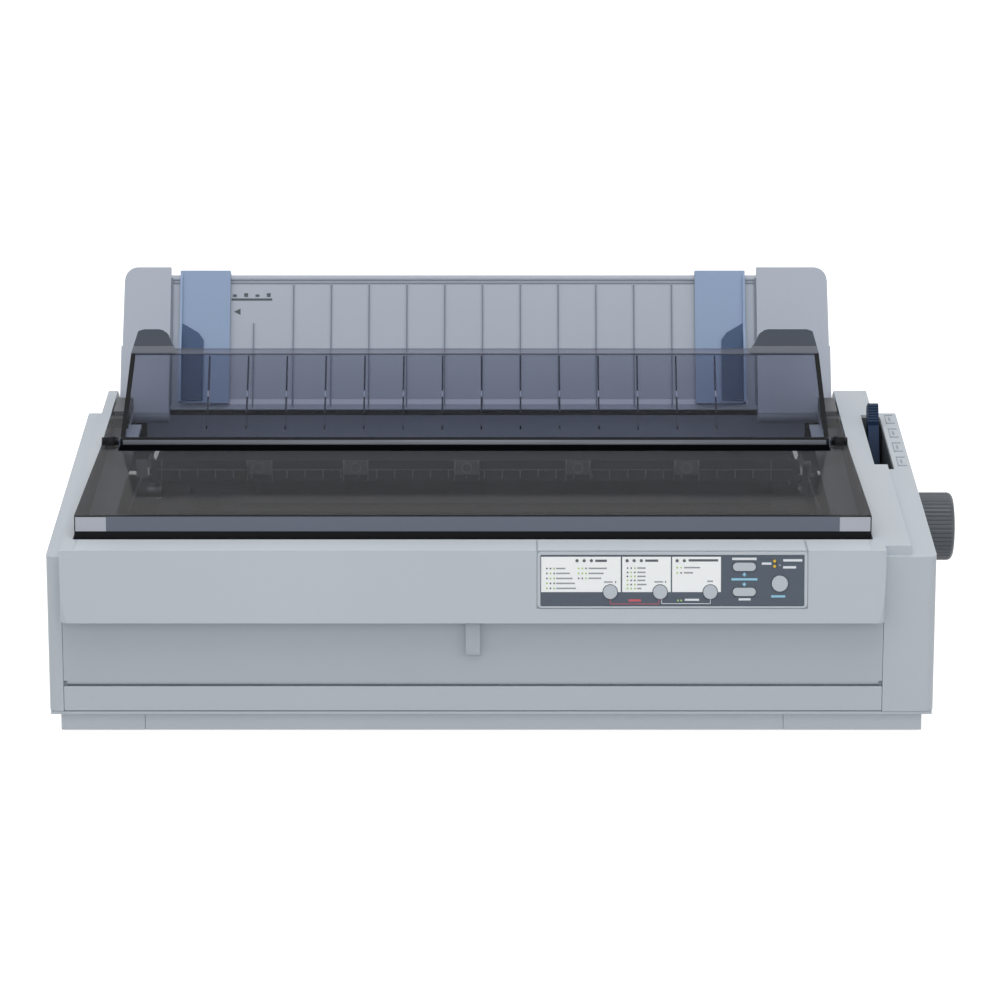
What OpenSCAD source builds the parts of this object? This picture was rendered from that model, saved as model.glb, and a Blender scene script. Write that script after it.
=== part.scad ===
// Wide-carriage dot matrix printer with a smoke printer cover, a tilting sheet guide and rear tractors.
// X is the width, with the knob at the right. Y runs from the front to the rear. Z is up, from the desk.

/* [Case] */
// Width of the front band between the two shoulders
mech_w = 555; // [480:5:680]
// Depth from the front band to the rear wall
case_d = 402; // [396:2:490]
// Width of the left shoulder
left_shoulder_w = 10; // [9:0.5:20]
// Width of the right shoulder, which holds the release lever
right_shoulder_w = 35; // [35:0.5:60]
// Wall thickness of the casings
wall = 2.5; // [2:0.1:3]
// Height of the skirt of the upper case above the desk
skirt_z = 15; // [14:0.5:20]
// Height of the shoulders at the front
shoulder_h = 122.7; // [118:0.1:130]
// Slope of the shoulders, in degrees
shoulder_slope = 7.67; // [6:0.1:8]
// Depth of the shoulder tops, from their front face to the step down
shoulder_run = 289; // [260:1:295]
// Depth that the front band stands out from the front panels
overhang = 13; // [10:0.5:20]
// Height of the underside of the front band
band_z = 80; // [74:0.5:84]
// Height of the front edge of the band
band_top_z = 128.4; // [126:0.1:130]
// Depth that the face of the band leans back
band_lean = 7; // [4:0.5:9]
// Depth of the band from its foot to the cover opening
band_d = 29; // [27:0.5:32]
// Radius of the upright corners of the case
corner_r = 6; // [3:0.5:8]

/* [Front panels] */
// Height of the top of the lower front panel
lower_panel_z = 32.3; // [28:0.1:36]
// Distance from the opening to the finger tab's centre line, to the right of the middle
tab_offset = 0; // [-100:1:100]
// Width of the finger tab
tab_w = 9.6; // [8:0.2:20]
// Distance from the middle to the left end of the base strip
strip_left = 223; // [180:1:225]
// Distance from the middle to the right end of the base strip
strip_right = 211; // [180:1:225]

/* [Control panel] */
// Distance from the middle to the left edge of the bezel
bezel_x = 43; // [0:1:60]
// Width of the bezel
bezel_w = 182; // [175:1:200]
// Height of the bezel's lower edge above the foot of the band, along its face
bezel_foot = 10; // [8:0.5:12]
// Width of the bezel's visible rim
bezel_rim = 2.5; // [2:0.1:4]
// Radius of the three small buttons
small_button_r = 4.7; // [4:0.1:5.5]
// Radius of the pause button
pause_button_r = 5.4; // [4.5:0.1:6.5]
// Length of the two long buttons
long_button_l = 15.4; // [12:0.1:18]
// Height of the two long buttons
long_button_h = 5.6; // [5:0.1:7]
// Travel of every button
button_travel = 1; // [0.5:0.1:1.2]

/* [Covers] */
// Thickness of the smoke covers
cover_t = 2.2; // [2:0.1:3]
// Width of each rail beside the cover opening
rail_w = 7; // [6:0.5:10]
// Height of the rails at the front of the opening
rail_z = 131; // [130:0.5:134]
// Slope of the rails, in degrees
rail_slope = 6.7; // [5:0.1:7]
// Depth of the ledge that the cover lies over, below the rails
ledge_drop = 10; // [9:0.5:12]
// Width of the ledge at each side
ledge_w = 22; // [20:0.5:26]
// Height of the cover's front lip above the rails
lip_h = 16; // [12:0.5:20]
// Distance from the cover opening's front to the guide cover's hinge
guide_hinge_d = 192; // [180:1:200]
// Distance from the cover opening's front to the cover's pivot
cover_pivot_d = 267; // [262:1:272]
// Length of the guide cover's plate
guide_l = 75.5; // [60:0.5:80]
// Angle of the guide cover's plate when it stands up, in degrees
guide_angle = 48; // [40:1:55]
// Depth of the guide cover's ears
ear_l = 50; // [30:1:52]

/* [Sheet guide] */
// Length of the sheet guide's ears from the pivot
sheet_l = 114.2; // [90:0.1:140]
// Angle of the sheet guide when it stands up, in degrees
sheet_lean = 66.8; // [60:0.1:75]
// Thickness of the sheet guide
sheet_t = 2.2; // [2:0.1:3]
// Width of its left ear
sheet_ear_w = 37; // [30:1:45]
// Width of its right ear
sheet_ear_wide = 55.6; // [45:0.2:60]
// Width of an edge guide
edge_w = 38.2; // [30:0.2:50]
// Distance from the middle of the covers to the outer side of the left edge guide
edge_x = 224.8; // [215:0.1:226]
// Distance from the middle of the covers to the outer side of the right edge guide
edge_x_right = 204.6; // [195:0.1:207]

/* [Platen and feed] */
// Distance from the front of the case to the platen's axis
platen_setback = 271; // [266:1:275]
// Height of the platen's axis
platen_z = 108; // [106:0.5:110]
// Radius of the platen
platen_r = 17.5; // [14:0.1:21]
// Radius of the platen's shaft
platen_shaft_r = 4; // [3:0.1:5]
// Module of the feed gears
gear_m = 1.25; // [1:0.05:1.3]
// Teeth of the platen, idler and tractor gears
gear_z = 24; // [22:1:24]
// Teeth of the knob's gear
knob_gear_z = 16; // [14:1:18]
// Teeth of the feed motor's pinion
pinion_z = 10; // [10:1:12]
// Radius of the platen knob
knob_r = 25; // [18:0.5:30]
// Length of the platen knob
knob_l = 37.6; // [25:0.1:45]
// Number of flutes round the knob
knob_flutes = 48; // [24:1:60]
// Radius of the bail's rubber rollers
bail_roller_r = 5.9; // [4.5:0.1:7]

/* [Print head] */
// Radius of the shaft that the carriage slides on
carriage_shaft_r = 6; // [4:0.1:7]
// Width of the carriage
carriage_w = 64; // [50:1:80]
// Width of the print head
head_w = 44; // [36:1:50]
// Travel of the carriage
carriage_travel = 370; // [300:1:372]
// Radius of the carriage belt's pulleys
pulley_r = 8; // [6:0.5:10]

/* [Release lever] */
// Thickness of the release lever
lever_t = 7.8; // [6:0.1:9]
// Height of the lever's tip above its pivot
lever_l = 92.4; // [80:0.4:96]
// Swing of the lever to each side of upright, in degrees
lever_swing = 27; // [20:1:30]

/* [Tractors] */
// Width of a tractor
tractor_w = 18; // [16:1:24]
// Radius of a tractor's sprocket drum
sprocket_r = 10.5; // [9:0.1:10.5]
// Number of pins round a sprocket
sprocket_pins = 6; // [5:1:8]

/* [Hidden] */
$fn = 48;

// Clearances
gap = 0.3; // pieces that pass close by each other
seam = 0.6; // visible lines between panels
cover_gap = 1; // beside the covers and the sheet guide
run_fit = 0.05; // radial clearance of a shaft in its hole

// Plan of the case
knob_gap = 1.5;
total_w = left_shoulder_w + mech_w + right_shoulder_w + knob_gap + knob_l;
x_left = -total_w / 2;
x_band = x_left + left_shoulder_w;
x_band_end = x_band + mech_w;
x_right = x_band_end + right_shoulder_w;
mid = x_band + mech_w / 2;
y_front = -case_d / 2;
y_rear = case_d / 2;
y_face = y_front + overhang;
y_open = y_front + band_d;
base_inset = 7.7;
base_front = y_face + 3;
y_step = y_face + shoulder_run;
outer_step_w = 17.4;

// Cover opening, rails and ledges
open_half = mech_w / 2 - rail_w;
bay_half = open_half - ledge_w;
y_ledge_end = y_open + 308;
y_rail_end = y_open + 322;
front_ledge_d = 12;
guide_bay_half = open_half - 13.5;
guide_bay_y = y_ledge_end - 36;
function shoulder_z(y) = shoulder_h + (y - y_face) * tan(shoulder_slope);
function rail_top(y) = rail_z + (y - y_open) * tan(rail_slope);
function ledge_top(y) = rail_top(y) - ledge_drop;

// Rear of the case
rear_wall_z = 92;
shoulder_rear_z = 118;
rail_rear_z = 138;

// Platen, gears and shafts, as (y, z) points
platen_at = [y_front + platen_setback, platen_z];
gear_r = gear_m * gear_z / 2;
knob_gear_r = gear_m * knob_gear_z / 2;
pinion_r = gear_m * pinion_z / 2;
mesh_slack = 0.06;
function polar(r, a) = [r * cos(a), r * sin(a)];
function between(a, b, ra, rb) =
  let (v = b - a, d = norm(v), s = (ra * ra - rb * rb + d * d) / (2 * d), h = sqrt(ra * ra - s * s))
  a + s * v / d + h * [v[1], -v[0]] / d;
idler_step = 2 * gear_r + mesh_slack;
knob_at = platen_at + polar(gear_r + knob_gear_r + mesh_slack, -113.5);
idler_a_at = platen_at + polar(idler_step, -20);
tractor_at = platen_at + [70, -24];
idler_b_at = between(idler_a_at, tractor_at, idler_step, idler_step);
pinion_at = idler_b_at + polar(gear_r + pinion_r + mesh_slack, -100);
tractor_rod_at = tractor_at + [32, 0];
carriage_at = platen_at + [-55, -21];
rail_at = platen_at + [-94, -35];
bail_pivot = platen_at + [26, 4];
bail_at = platen_at + polar(platen_r + bail_roller_r + 0.4, 120.3);
pressure_r = 5;
pressure_at = platen_at + [0, -platen_r - pressure_r - 0.4];
sheet_pivot = platen_at + [80, 42];
cover_pivot = [y_open + cover_pivot_d, rail_top(y_open + cover_pivot_d) - 5];
guide_pivot = [y_open + guide_hinge_d, rail_top(y_open + guide_hinge_d) + 2.5];

// Side plates
plate_t = 2;
plate_in = bay_half - 5.5;
plate_out = plate_in + plate_t;
plate_top = 124;
pan_z = 29;
pan_t = 2;
plate_y0 = y_front + 96;
plate_y1 = platen_at[0] + 118;
gear_x = plate_out + 1.5;
gear_w = 6;
platen_half = plate_in - 13;

// Small sizes that more than one piece shares
journal_r = 3;
pin_r = 2.5;
bail_bar_r = 3;
stud_r = 3;
carriage_home = -plate_in + 63;
belt_z = 62;
belt_w = 8;
belt_t = 1.4;
pulley_x = plate_in - 28;
belt_y = platen_at[0] - 76;
cart_y0 = y_front + 131;
cart_y1 = platen_at[0] - 84;
cart_z = platen_z - 10;
cart_h = 27.5;
cart_x0 = -plate_in + 35;
cart_x1 = plate_in - 7;
cart_arm_w = 18;
nose_gap = 1.1;
foot_h = 1;
floor_t = 3;
board_z = foot_h + floor_t + 8;

// Colours
body_grey = [0.72, 0.76, 0.8];
panel_grey = [0.68, 0.72, 0.76];
smoke = [0.25, 0.26, 0.3, 0.6];
guide_blue = [0.55, 0.63, 0.75];
lever_blue = [0.22, 0.32, 0.46];
slate = [0.36, 0.4, 0.46];
dark = [0.16, 0.17, 0.18];
steel = [0.7, 0.71, 0.73];
gear_white = [0.88, 0.87, 0.82];

// A side outline of (y, z) points, extruded from x0 to x1
module slab(x0, x1, points) {
  translate([x0, 0, 0]) rotate([90, 0, 90]) linear_extrude(x1 - x0) polygon(points);
}

// A box between two corners
module block(lo, hi) {
  translate(lo) cube(hi - lo);
}

// A round bar along X about a (y, z) point
module bar(x0, x1, at, r) {
  translate([x0, at[0], at[1]]) rotate([0, 90, 0]) cylinder(r = r, h = x1 - x0);
}

// Everything of the mechanism is centred on the platen's middle
module mech() {
  translate([mid, 0, 0]) children();
}

// The same piece at the left and the right of the mechanism
module both_sides() {
  children();
  mirror([1, 0, 0]) children();
}

// A flat outline with round corners
module round_rect(w, d, r) {
  translate([r, 0]) square([w - 2 * r, d]);
  translate([0, r]) square([w, d - 2 * r]);
  for (x = [r, w - r], y = [r, d - r]) translate([x, y]) circle(r);
}

// A flat outline with two half-round ends, lying along X
module slot_shape(l, h) {
  translate([-(l - h) / 2, -h / 2]) square([l - h, h]);
  for (s = [-1, 1]) translate([s * (l - h) / 2, 0]) circle(h / 2);
}

// A spur gear about the X axis, with straight flanks that are thinned for play
tooth_play = 0.16;
function tooth(z, m, i) =
  let (
    pitch = 360 / z, r = m * z / 2, a = i * pitch,
    half = pitch / 4 - tooth_play / r * 90 / PI,
    root = r - 1.2 * m, tip = r + 0.85 * m,
    spread = tan(20) * 180 / PI
  )
  [
    polar(root, a - half - spread * (r - root) / r * 0.75),
    polar(r, a - half),
    polar(tip, a - half + spread * (tip - r) / tip * 1.25),
    polar(tip, a + half - spread * (tip - r) / tip * 1.25),
    polar(r, a + half),
    polar(root, a + half + spread * (r - root) / r * 0.75)
  ];
module gear(z, at, bore, phase) {
  translate([gear_x, at[0], at[1]]) rotate([90, 0, 90]) rotate(phase) linear_extrude(gear_w)
    difference() {
      polygon([for (i = [0 : z - 1]) each tooth(z, gear_m, i)]);
      if (bore > 0) circle(bore);
    }
}

// Phase that sets a gear's tooth space opposite a tooth of the gear at `from`
function angle_to(from, to) = atan2(to[1] - from[1], to[0] - from[0]);
function mesh_phase(z, zf, phase_f, from, to) =
  let (a = angle_to(from, to)) a + 180 + 180 / z + (a - phase_f) * zf / z;

// Outline of the outer shoulders, whose tops step down before the rear; t is how far inside the skin it lies
function shoulder_outline(t) = [
  [y_face + t, -1], [y_face + t, shoulder_z(y_face) - t], [y_step - t / 2, shoulder_z(y_step) - t],
  [y_step + 14 - t, shoulder_z(y_step) - 12 - t / 2], [y_rear - t, shoulder_rear_z - t], [y_rear - t, -1]
];

// Outline of the middle of the case, whose rails go on further
function rail_outline(t) = [
  [y_open + t - 12, -1], [y_open + t - 12, rail_top(y_open - 12) - t],
  [y_rail_end - t / 2, rail_top(y_rail_end) - t], [y_rail_end + 10 - t / 2, rail_top(y_rail_end) - 5 - t],
  [y_rear - t, rail_rear_z - t], [y_rear - t, -1]
];

// Outline of the front band; its foot and back stay open to the inside of the case
function band_outline(t) = [
  [y_front + t, band_z + t], [y_front + band_lean + t, band_top_z - t * 1.1],
  [y_open + t, rail_z - t], [y_open + t, band_z + t]
];

// Front face of the band: X to the right, Y up the face, Z out of it
band_angle = atan2(band_lean, band_top_z - band_z);
band_face_h = norm([band_lean, band_top_z - band_z]);
module on_band() {
  translate([mid + bezel_x, y_front, band_z]) rotate([90 - band_angle, 0, 0]) children();
}
bezel_t = 1.4;
bezel_proud = 0.4;
window_rim = 5.5;
window_w = bezel_w - 2 * window_rim;
window_h = 30.5;
window_foot = bezel_foot + 4.5;

// Mains inlet, rocker switch and interface sockets in the rear wall, as [x, z, width, height]
inlet_cut = [x_left + 62, 46, 28, 22];
switch_cut = [x_left + 104, 48, 20, 14];
parallel_cut = [x_right - 150, 40, 66, 15];
serial_cut = [x_right - 218, 40, 32, 13];
usb_cut = [x_right - 256, 40, 13, 12];
rear_cuts = [inlet_cut, switch_cut, parallel_cut, serial_cut, usb_cut];
module rear_hole(cut, grow) {
  block([cut[0] - cut[2] / 2 - grow, y_rear - 12, cut[1] - cut[3] / 2 - grow],
        [cut[0] + cut[2] / 2 + grow, y_rear + 1, cut[1] + cut[3] / 2 + grow]);
}

// Slot of the release lever in the right shoulder
lever_pivot = [y_open + 209, 90];
lever_x = x_right - 19.6;
slot_w = 14.4;
slot_y0 = y_open + 153.5;
slot_y1 = y_open + 264.5;

// Upper casing: shoulders, rails and ledges, front band and rear wall, open above the mechanism and below
module upper_case() {
  color(body_grey) difference() {
    union() {
      difference() {
        intersection() {
          union() {
            slab(x_left, x_right, shoulder_outline(0));
            slab(x_band, x_right - outer_step_w, rail_outline(0));
          }
          translate([x_left, y_face, skirt_z]) linear_extrude(300)
            round_rect(x_right - x_left, y_rear - y_face, corner_r);
        }
        slab(x_left + wall, x_right - wall, shoulder_outline(wall));
        slab(x_band + wall, x_right - outer_step_w - wall, rail_outline(wall));
      }
      intersection() {
        difference() {
          slab(x_band, x_band_end, band_outline(0));
          slab(x_band + wall, x_band_end - wall, concat(
            [for (i = [0 : 1]) band_outline(wall)[i]], [[y_open + 1, rail_z - wall], [y_open + 1, band_z + wall]]));
        }
        translate([x_band, y_front, 0]) linear_extrude(300)
          round_rect(mech_w, band_d + 20, corner_r);
      }
      mech() {
        both_sides() {
          slab(bay_half, open_half + wall, [
            [y_open - 1, ledge_top(y_open - 1) - wall], [y_open - 1, ledge_top(y_open - 1)],
            [y_ledge_end, ledge_top(y_ledge_end)], [y_ledge_end, ledge_top(y_ledge_end) - wall]]);
          slab(open_half, open_half + wall, [
            [y_open - 1, ledge_top(y_open - 1) - wall / 2], [y_open - 1, rail_top(y_open - 1) - 1],
            [y_rail_end - 1, rail_top(y_rail_end - 1) - 1], [y_rear - wall / 2, rail_rear_z - 1],
            [y_rear - wall / 2, rear_wall_z - wall], [y_ledge_end - 10, rear_wall_z - wall],
            [y_ledge_end - 10, ledge_top(y_ledge_end - 10) - wall / 2]]);
          slab(mech_w / 2 - wall, mech_w / 2, [
            [y_face + 1, skirt_z], [y_face + 1, band_z + 1], [y_face + 38, band_z + 1], [y_face + 38, skirt_z]]);
        }
        block([-bay_half - 1, y_open - 1, ledge_top(y_open) - wall - 1],
              [bay_half + 1, y_open + front_ledge_d, ledge_top(y_open)]);
        block([-open_half - wall, y_open - 1, ledge_top(y_open) - wall - 1],
              [open_half + wall, y_open - 1 + wall, rail_z - wall / 2]);
      }
    }
    mech() {
      // The opening above the mechanism, through to the rear
      slab(-open_half, open_half, [
        [y_open, ledge_top(y_open)], [y_open, 300], [y_rear + 1, 300], [y_rear + 1, rear_wall_z],
        [y_ledge_end, rear_wall_z], [y_ledge_end, ledge_top(y_ledge_end)]]);
      // The ledges narrow towards the rear, where the folded guide cover comes down between them
      block([-guide_bay_half, guide_bay_y, skirt_z], [guide_bay_half, y_ledge_end + 1, 300]);
      // Openings for the front panels
      block([-mech_w / 2, y_face - 1, skirt_z - 1], [mech_w / 2, y_face + wall + 1, band_z]);
      // Bores of the hinge pins
      for (s = [-1, 1]) {
        bar(s * (open_half + wall / 2) - wall, s * (open_half + wall / 2) + wall, cover_pivot, pin_r + run_fit);
        bar(s * (open_half + wall / 2) - wall, s * (open_half + wall / 2) + wall, sheet_pivot, pin_r + run_fit);
      }
      for (s = [-1, 1])
        bar(s * (mech_w / 2 - wall / 2) - wall, s * (mech_w / 2 - wall / 2) + wall, front_pivot, front_pin_r + run_fit);
    }
    // Slot of the release lever
    block([lever_x - slot_w / 2, slot_y0, skirt_z + 90], [lever_x + slot_w / 2, slot_y1, 300]);
    // Hole of the knob's shaft
    bar(x_right - wall - 1, x_right + 1, knob_at, platen_shaft_r + 1.5);
    // Seat and window of the control panel
    on_band() {
      translate([0, bezel_foot, -bezel_t - 0.1]) cube([bezel_w, band_face_h, 10]);
      translate([window_rim, window_foot, -10]) cube([window_w, window_h, 20]);
    }
    for (c = rear_cuts) rear_hole(c, 0);
  }
}

// Lower casing: the floor and its walls, which stand inside the skirt of the upper case
base_x0 = x_left + base_inset;
base_x1 = x_right - base_inset;
boss_r = 5;
pan_posts = [for (x = [-plate_in + 14, plate_in - 14], y = [plate_y0 + 12, plate_y1 - 30]) [x, y]];
board_x = 60;
board_w = 210;
board_d = 140;
board_y = y_rear - 160;
board_posts = [for (x = [board_x - board_w / 2 + 8, board_x + board_w / 2 - 8],
                    y = [board_y + 8, board_y + board_d - 8]) [x, y]];
skirt_posts = [for (x = [base_x0 + 9, base_x1 - 9], y = [base_front + 60, y_rear - 60]) [x, y]];
foot_r = 9;
foot_spots = [for (x = [base_x0 + 24, base_x1 - 24], y = [base_front + 26, y_rear - 30]) [x, y]];
screw_r = 1.9;
screw_head_r = 3.6;
module lower_case() {
  color(body_grey) difference() {
    union() {
      block([base_x0, base_front, foot_h], [base_x1, y_rear - 3, foot_h + floor_t]);
      difference() {
        block([base_x0, base_front, foot_h], [base_x1, y_rear - 3, skirt_z - gap]);
        block([base_x0 + wall, base_front + wall, -1], [base_x1 - wall, y_rear - 3 - wall, skirt_z + 1]);
      }
      difference() {
        block([x_left + 1, y_face + 0.5, skirt_z - gap - 2], [x_right - 1, y_rear - 1, skirt_z - gap]);
        block([base_x0 + wall, base_front + wall, -1], [base_x1 - wall, y_rear - 3 - wall, skirt_z + 1]);
      }
      for (p = pan_posts)
        translate([mid + p[0], p[1], foot_h + 1]) cylinder(r = boss_r, h = pan_z - foot_h - 1);
      for (p = board_posts)
        translate([mid + p[0], p[1], foot_h + 1]) cylinder(r = 4, h = board_z - foot_h - 1);
    }
    // The base strip's place
    block([mid - strip_left, base_front - 1, 0], [mid + strip_right, base_front + 1.2, skirt_z - gap - 2]);
    for (p = foot_spots) translate([p[0], p[1], foot_h - 1]) cylinder(r = foot_r + run_fit, h = 2.5);
    for (p = pan_posts) translate([mid + p[0], p[1], -1]) {
      cylinder(r = screw_r + run_fit, h = 40);
      cylinder(r = screw_head_r + 0.2, h = 8);
    }
  }
}

// Strip that closes the middle of the base at the front
module base_strip() {
  color(body_grey)
    block([mid - strip_left + seam / 2, base_front, foot_h],
          [mid + strip_right - seam / 2, base_front + 1, skirt_z - gap - 2 - gap]);
}

// Fixed panel below the front cover
module lower_front_panel() {
  color(body_grey) {
    block([x_band + seam / 2, y_face, skirt_z + gap], [x_band_end - seam / 2, y_face + wall, lower_panel_z]);
    block([x_band + wall + gap, y_face, lower_panel_z - wall],
          [x_band_end - wall - gap, y_face + 10, lower_panel_z]);
  }
}

// Front cover over the front paper slot, hinged at its foot
front_barrel_r = 3.5;
front_pin_r = 1.5;
front_pivot = [y_face + front_barrel_r, lower_panel_z + seam + front_barrel_r];
tab_h = 24;
module front_cover() {
  color(panel_grey) difference() {
    union() {
      block([x_band + seam / 2, y_face, front_pivot[1]],
            [x_band_end - seam / 2, y_face + wall, band_z - seam]);
      bar(x_band + wall + gap, x_band_end - wall - gap, front_pivot, front_barrel_r);
      slab(mid + tab_offset - tab_w / 2, mid + tab_offset + tab_w / 2, [
        [y_face + 1, band_z - seam - tab_h - 2], [y_face - 3.5, band_z - seam - tab_h],
        [y_face - 5, band_z - seam - tab_h + 3], [y_face - 5, band_z - seam - 2],
        [y_face - 3, band_z - seam], [y_face + 1, band_z - seam]]);
    }
    bar(x_band - 1, x_band + 14, front_pivot, front_pin_r + run_fit);
    bar(x_band_end - 14, x_band_end + 1, front_pivot, front_pin_r + run_fit);
  }
}

// Hinge pins of the three covers and the screws that hold the chassis
module case_fasteners() {
  color(steel) {
    mech() for (s = [-1, 1]) {
      bar(s * (open_half - 3) - 7, s * (open_half - 3) + 7, cover_pivot, pin_r);
      bar(s * (open_half - 3) - 7, s * (open_half - 3) + 7, sheet_pivot, pin_r);
      bar(s * (mech_w / 2 - 5) - 6, s * (mech_w / 2 - 5) + 6, front_pivot, front_pin_r);
    }
    for (p = pan_posts) translate([mid + p[0], p[1], foot_h + 2]) {
      cylinder(r = screw_r, h = pan_z - foot_h - 2 + pan_t + 2);
      translate([0, 0, 1]) cylinder(r = screw_head_r, h = 3);
    }
  }
}

// Four round rubber feet let into the floor
module feet() {
  color(dark) for (p = foot_spots) translate([p[0], p[1], 0]) cylinder(r = foot_r, h = foot_h + 1.2);
}

// Control panel: bezel, face plate, buttons, lamps and board, all on the band's face
plate_w = bezel_w - 2 * bezel_rim;
plate_foot = bezel_foot + 1.6;
plate_h = 34.6;
plate_thick = 1;
plate_back = -0.7;
small_y = plate_foot + 9.7;
small_x = [49.3, 82.8, 116.4];
pause_spot = [163, plate_foot + 15.4];
long_x = 139.2;
load_spot = [long_x, plate_foot + 26.7];
feed_spot = [long_x, plate_foot + 9.8];
button_proud = 1.3;
button_back = -4.6;
flange_w = 1.2;
lamp_r = 1;
lamp_y = plate_foot + 30.8;
lamp_spots = concat(
  [for (x = [27, 31.8, 36.6, 60.6, 65.3, 70.1, 94.1, 98.9]) [x, lamp_y]],
  [[159.5, lamp_y - 0.4], [159.5, lamp_y - 3.9]]
);
board_back = -9.6;
board_thick = 1.6;
module control_bezel() {
  color(body_grey) on_band() difference() {
    translate([gap, bezel_foot + gap, -bezel_t]) linear_extrude(bezel_t + bezel_proud)
      round_rect(bezel_w - 2 * gap, band_face_h - bezel_foot - gap - 0.4, 3);
    translate([window_rim, window_foot, -5]) cube([window_w, window_h, 10]);
    translate([bezel_rim, plate_foot, plate_back - 0.1]) cube([plate_w, plate_h, 5]);
  }
}
module panel_plate() {
  color(slate) on_band() difference() {
    translate([bezel_rim + gap, plate_foot + gap, plate_back])
      cube([plate_w - 2 * gap, plate_h - 2 * gap, plate_thick]);
    for (x = small_x) translate([x, small_y, -5]) cylinder(r = small_button_r + gap, h = 10);
    translate([pause_spot[0], pause_spot[1], -5]) cylinder(r = pause_button_r + gap, h = 10);
    for (s = [load_spot, feed_spot]) translate([s[0], s[1], -5]) linear_extrude(10)
      slot_shape(long_button_l + 2 * gap, long_button_h + 2 * gap);
    for (s = lamp_spots) translate([s[0], s[1], -5]) cylinder(r = lamp_r + 0.2, h = 10);
  }
}
module round_button(spot, r) {
  color(body_grey) on_band() translate([spot[0], spot[1], button_back]) {
    cylinder(r = r, h = button_proud - button_back);
    cylinder(r = r + flange_w, h = 1);
  }
}
module long_button(spot) {
  color(body_grey) on_band() translate([spot[0], spot[1], button_back]) {
    linear_extrude(button_proud - button_back) slot_shape(long_button_l, long_button_h);
    linear_extrude(1) slot_shape(long_button_l + 2 * flange_w, long_button_h + 2 * flange_w);
  }
}
module select_button_left() { round_button([small_x[0], small_y], small_button_r); }
module select_button_middle() { round_button([small_x[1], small_y], small_button_r); }
module select_button_right() { round_button([small_x[2], small_y], small_button_r); }
module pause_button() { round_button(pause_spot, pause_button_r); }
module load_button() { long_button(load_spot); }
module feed_button() { long_button(feed_spot); }
module panel_board() {
  switch_top = button_back - button_travel - gap;
  color([0.1, 0.35, 0.2]) on_band() {
    translate([window_rim + 1, window_foot + 1, board_back])
      cube([window_w - 2, window_h - 2, board_thick]);
    for (s = concat([for (x = small_x) [x, small_y]], [pause_spot, load_spot, feed_spot]))
      translate([s[0] - 3, s[1] - 3, board_back + 1])
        cube([6, 6, switch_top - board_back - 1]);
    for (x = [window_rim + 5, bezel_w - window_rim - 5])
      translate([x, window_foot + 3, board_back + 1]) cylinder(r = 2, h = plate_back - 0.1 - board_back - 1 - gap);
    for (s = lamp_spots) translate([s[0], s[1], board_back + 1])
      cylinder(r = lamp_r, h = plate_back + plate_thick + 0.1 - board_back - 1);
  }
}

// Printer cover: a smoke lid whose two arms reach back to its pivots
skirt_clear = seam;
cover_half = open_half - cover_gap;
arm_w = 12;
cover_front = y_open + 2.3;
cover_lip_z = rail_z - 2;
cover_rear = guide_pivot[0] - 5.3;
knuckle_r = 4.5;
function cover_top(y) =
  rail_z + lip_h + (y - cover_front) * (guide_pivot[1] - rail_z - lip_h) / (guide_pivot[0] - cover_front);
function cover_outline(t) = [
  [cover_front + t, cover_lip_z - 2 * t], [cover_front + t, cover_top(cover_front) - 1 - t],
  [cover_front + 1 + t, cover_top(cover_front) - t], [cover_rear + 2 * t, cover_top(cover_rear) - t],
  [cover_rear + 2 * t, ledge_top(cover_rear) + skirt_clear - 2 * t],
  [y_open + front_ledge_d, ledge_top(y_open + front_ledge_d) + skirt_clear - 2 * t]
];
module printer_cover() {
  color(smoke) mech() difference() {
    union() {
      difference() {
        slab(-cover_half, cover_half, cover_outline(0));
        slab(-cover_half + cover_t, cover_half - cover_t, cover_outline(cover_t));
      }
      both_sides() {
        difference() {
          slab(cover_half - arm_w, cover_half, [
            [cover_rear - 1, ledge_top(cover_rear - 1) + skirt_clear], [cover_rear - 1, cover_top(cover_rear - 1)],
            [cover_pivot[0], cover_pivot[1] + knuckle_r], [cover_pivot[0], cover_pivot[1] - knuckle_r + 0.1]]);
          slab(cover_half - arm_w - 1, cover_half - cover_t, [
            [cover_rear - 2, 100], [cover_rear - 2, cover_top(cover_rear - 1) - cover_t],
            [cover_pivot[0] - 6, cover_pivot[1] + knuckle_r - cover_t], [cover_pivot[0] - 6, 100]]);
        }
        bar(cover_half - arm_w, cover_half, cover_pivot, knuckle_r);
        bar(cover_half - arm_w, cover_half, guide_pivot, knuckle_r);
      }
    }
    for (s = [-1, 1]) {
      bar(s * (cover_half - arm_w / 2) - arm_w, s * (cover_half - arm_w / 2) + arm_w, cover_pivot, pin_r + run_fit);
      bar(s * (cover_half - arm_w / 2) - arm_w, s * (cover_half - arm_w / 2) + arm_w, guide_pivot, pin_r + run_fit);
    }
  }
}

// Fixed dark trims on the ledges behind the cover's arms, and a dark bar across the rear paper entry
rear_bar_y = y_rear - 17;
rear_bar_z0 = 116;
rear_bar_z1 = 143;
rear_bar_t = 2.5;
module rear_trims() {
  y0 = cover_pivot[0] + knuckle_r + 1;
  y1 = y_ledge_end - 1;
  color(dark) mech() both_sides() slab(cover_half - arm_w, cover_half, [
    [y0, ledge_top(y0) + gap], [y0 + 2, rail_top(y0 + 2) - 0.5], [y1, rail_top(y1) - 0.5], [y1, ledge_top(y1) + gap]]);
  color(dark) mech() {
    block([-open_half + gap, rear_bar_y, rear_bar_z0], [open_half - gap, rear_bar_y + rear_bar_t, rear_bar_z1]);
    block([-open_half + gap, rear_bar_y, rear_bar_z0], [open_half - gap, rear_bar_y + 9, rear_bar_z0 + rear_bar_t]);
  }
}

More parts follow.
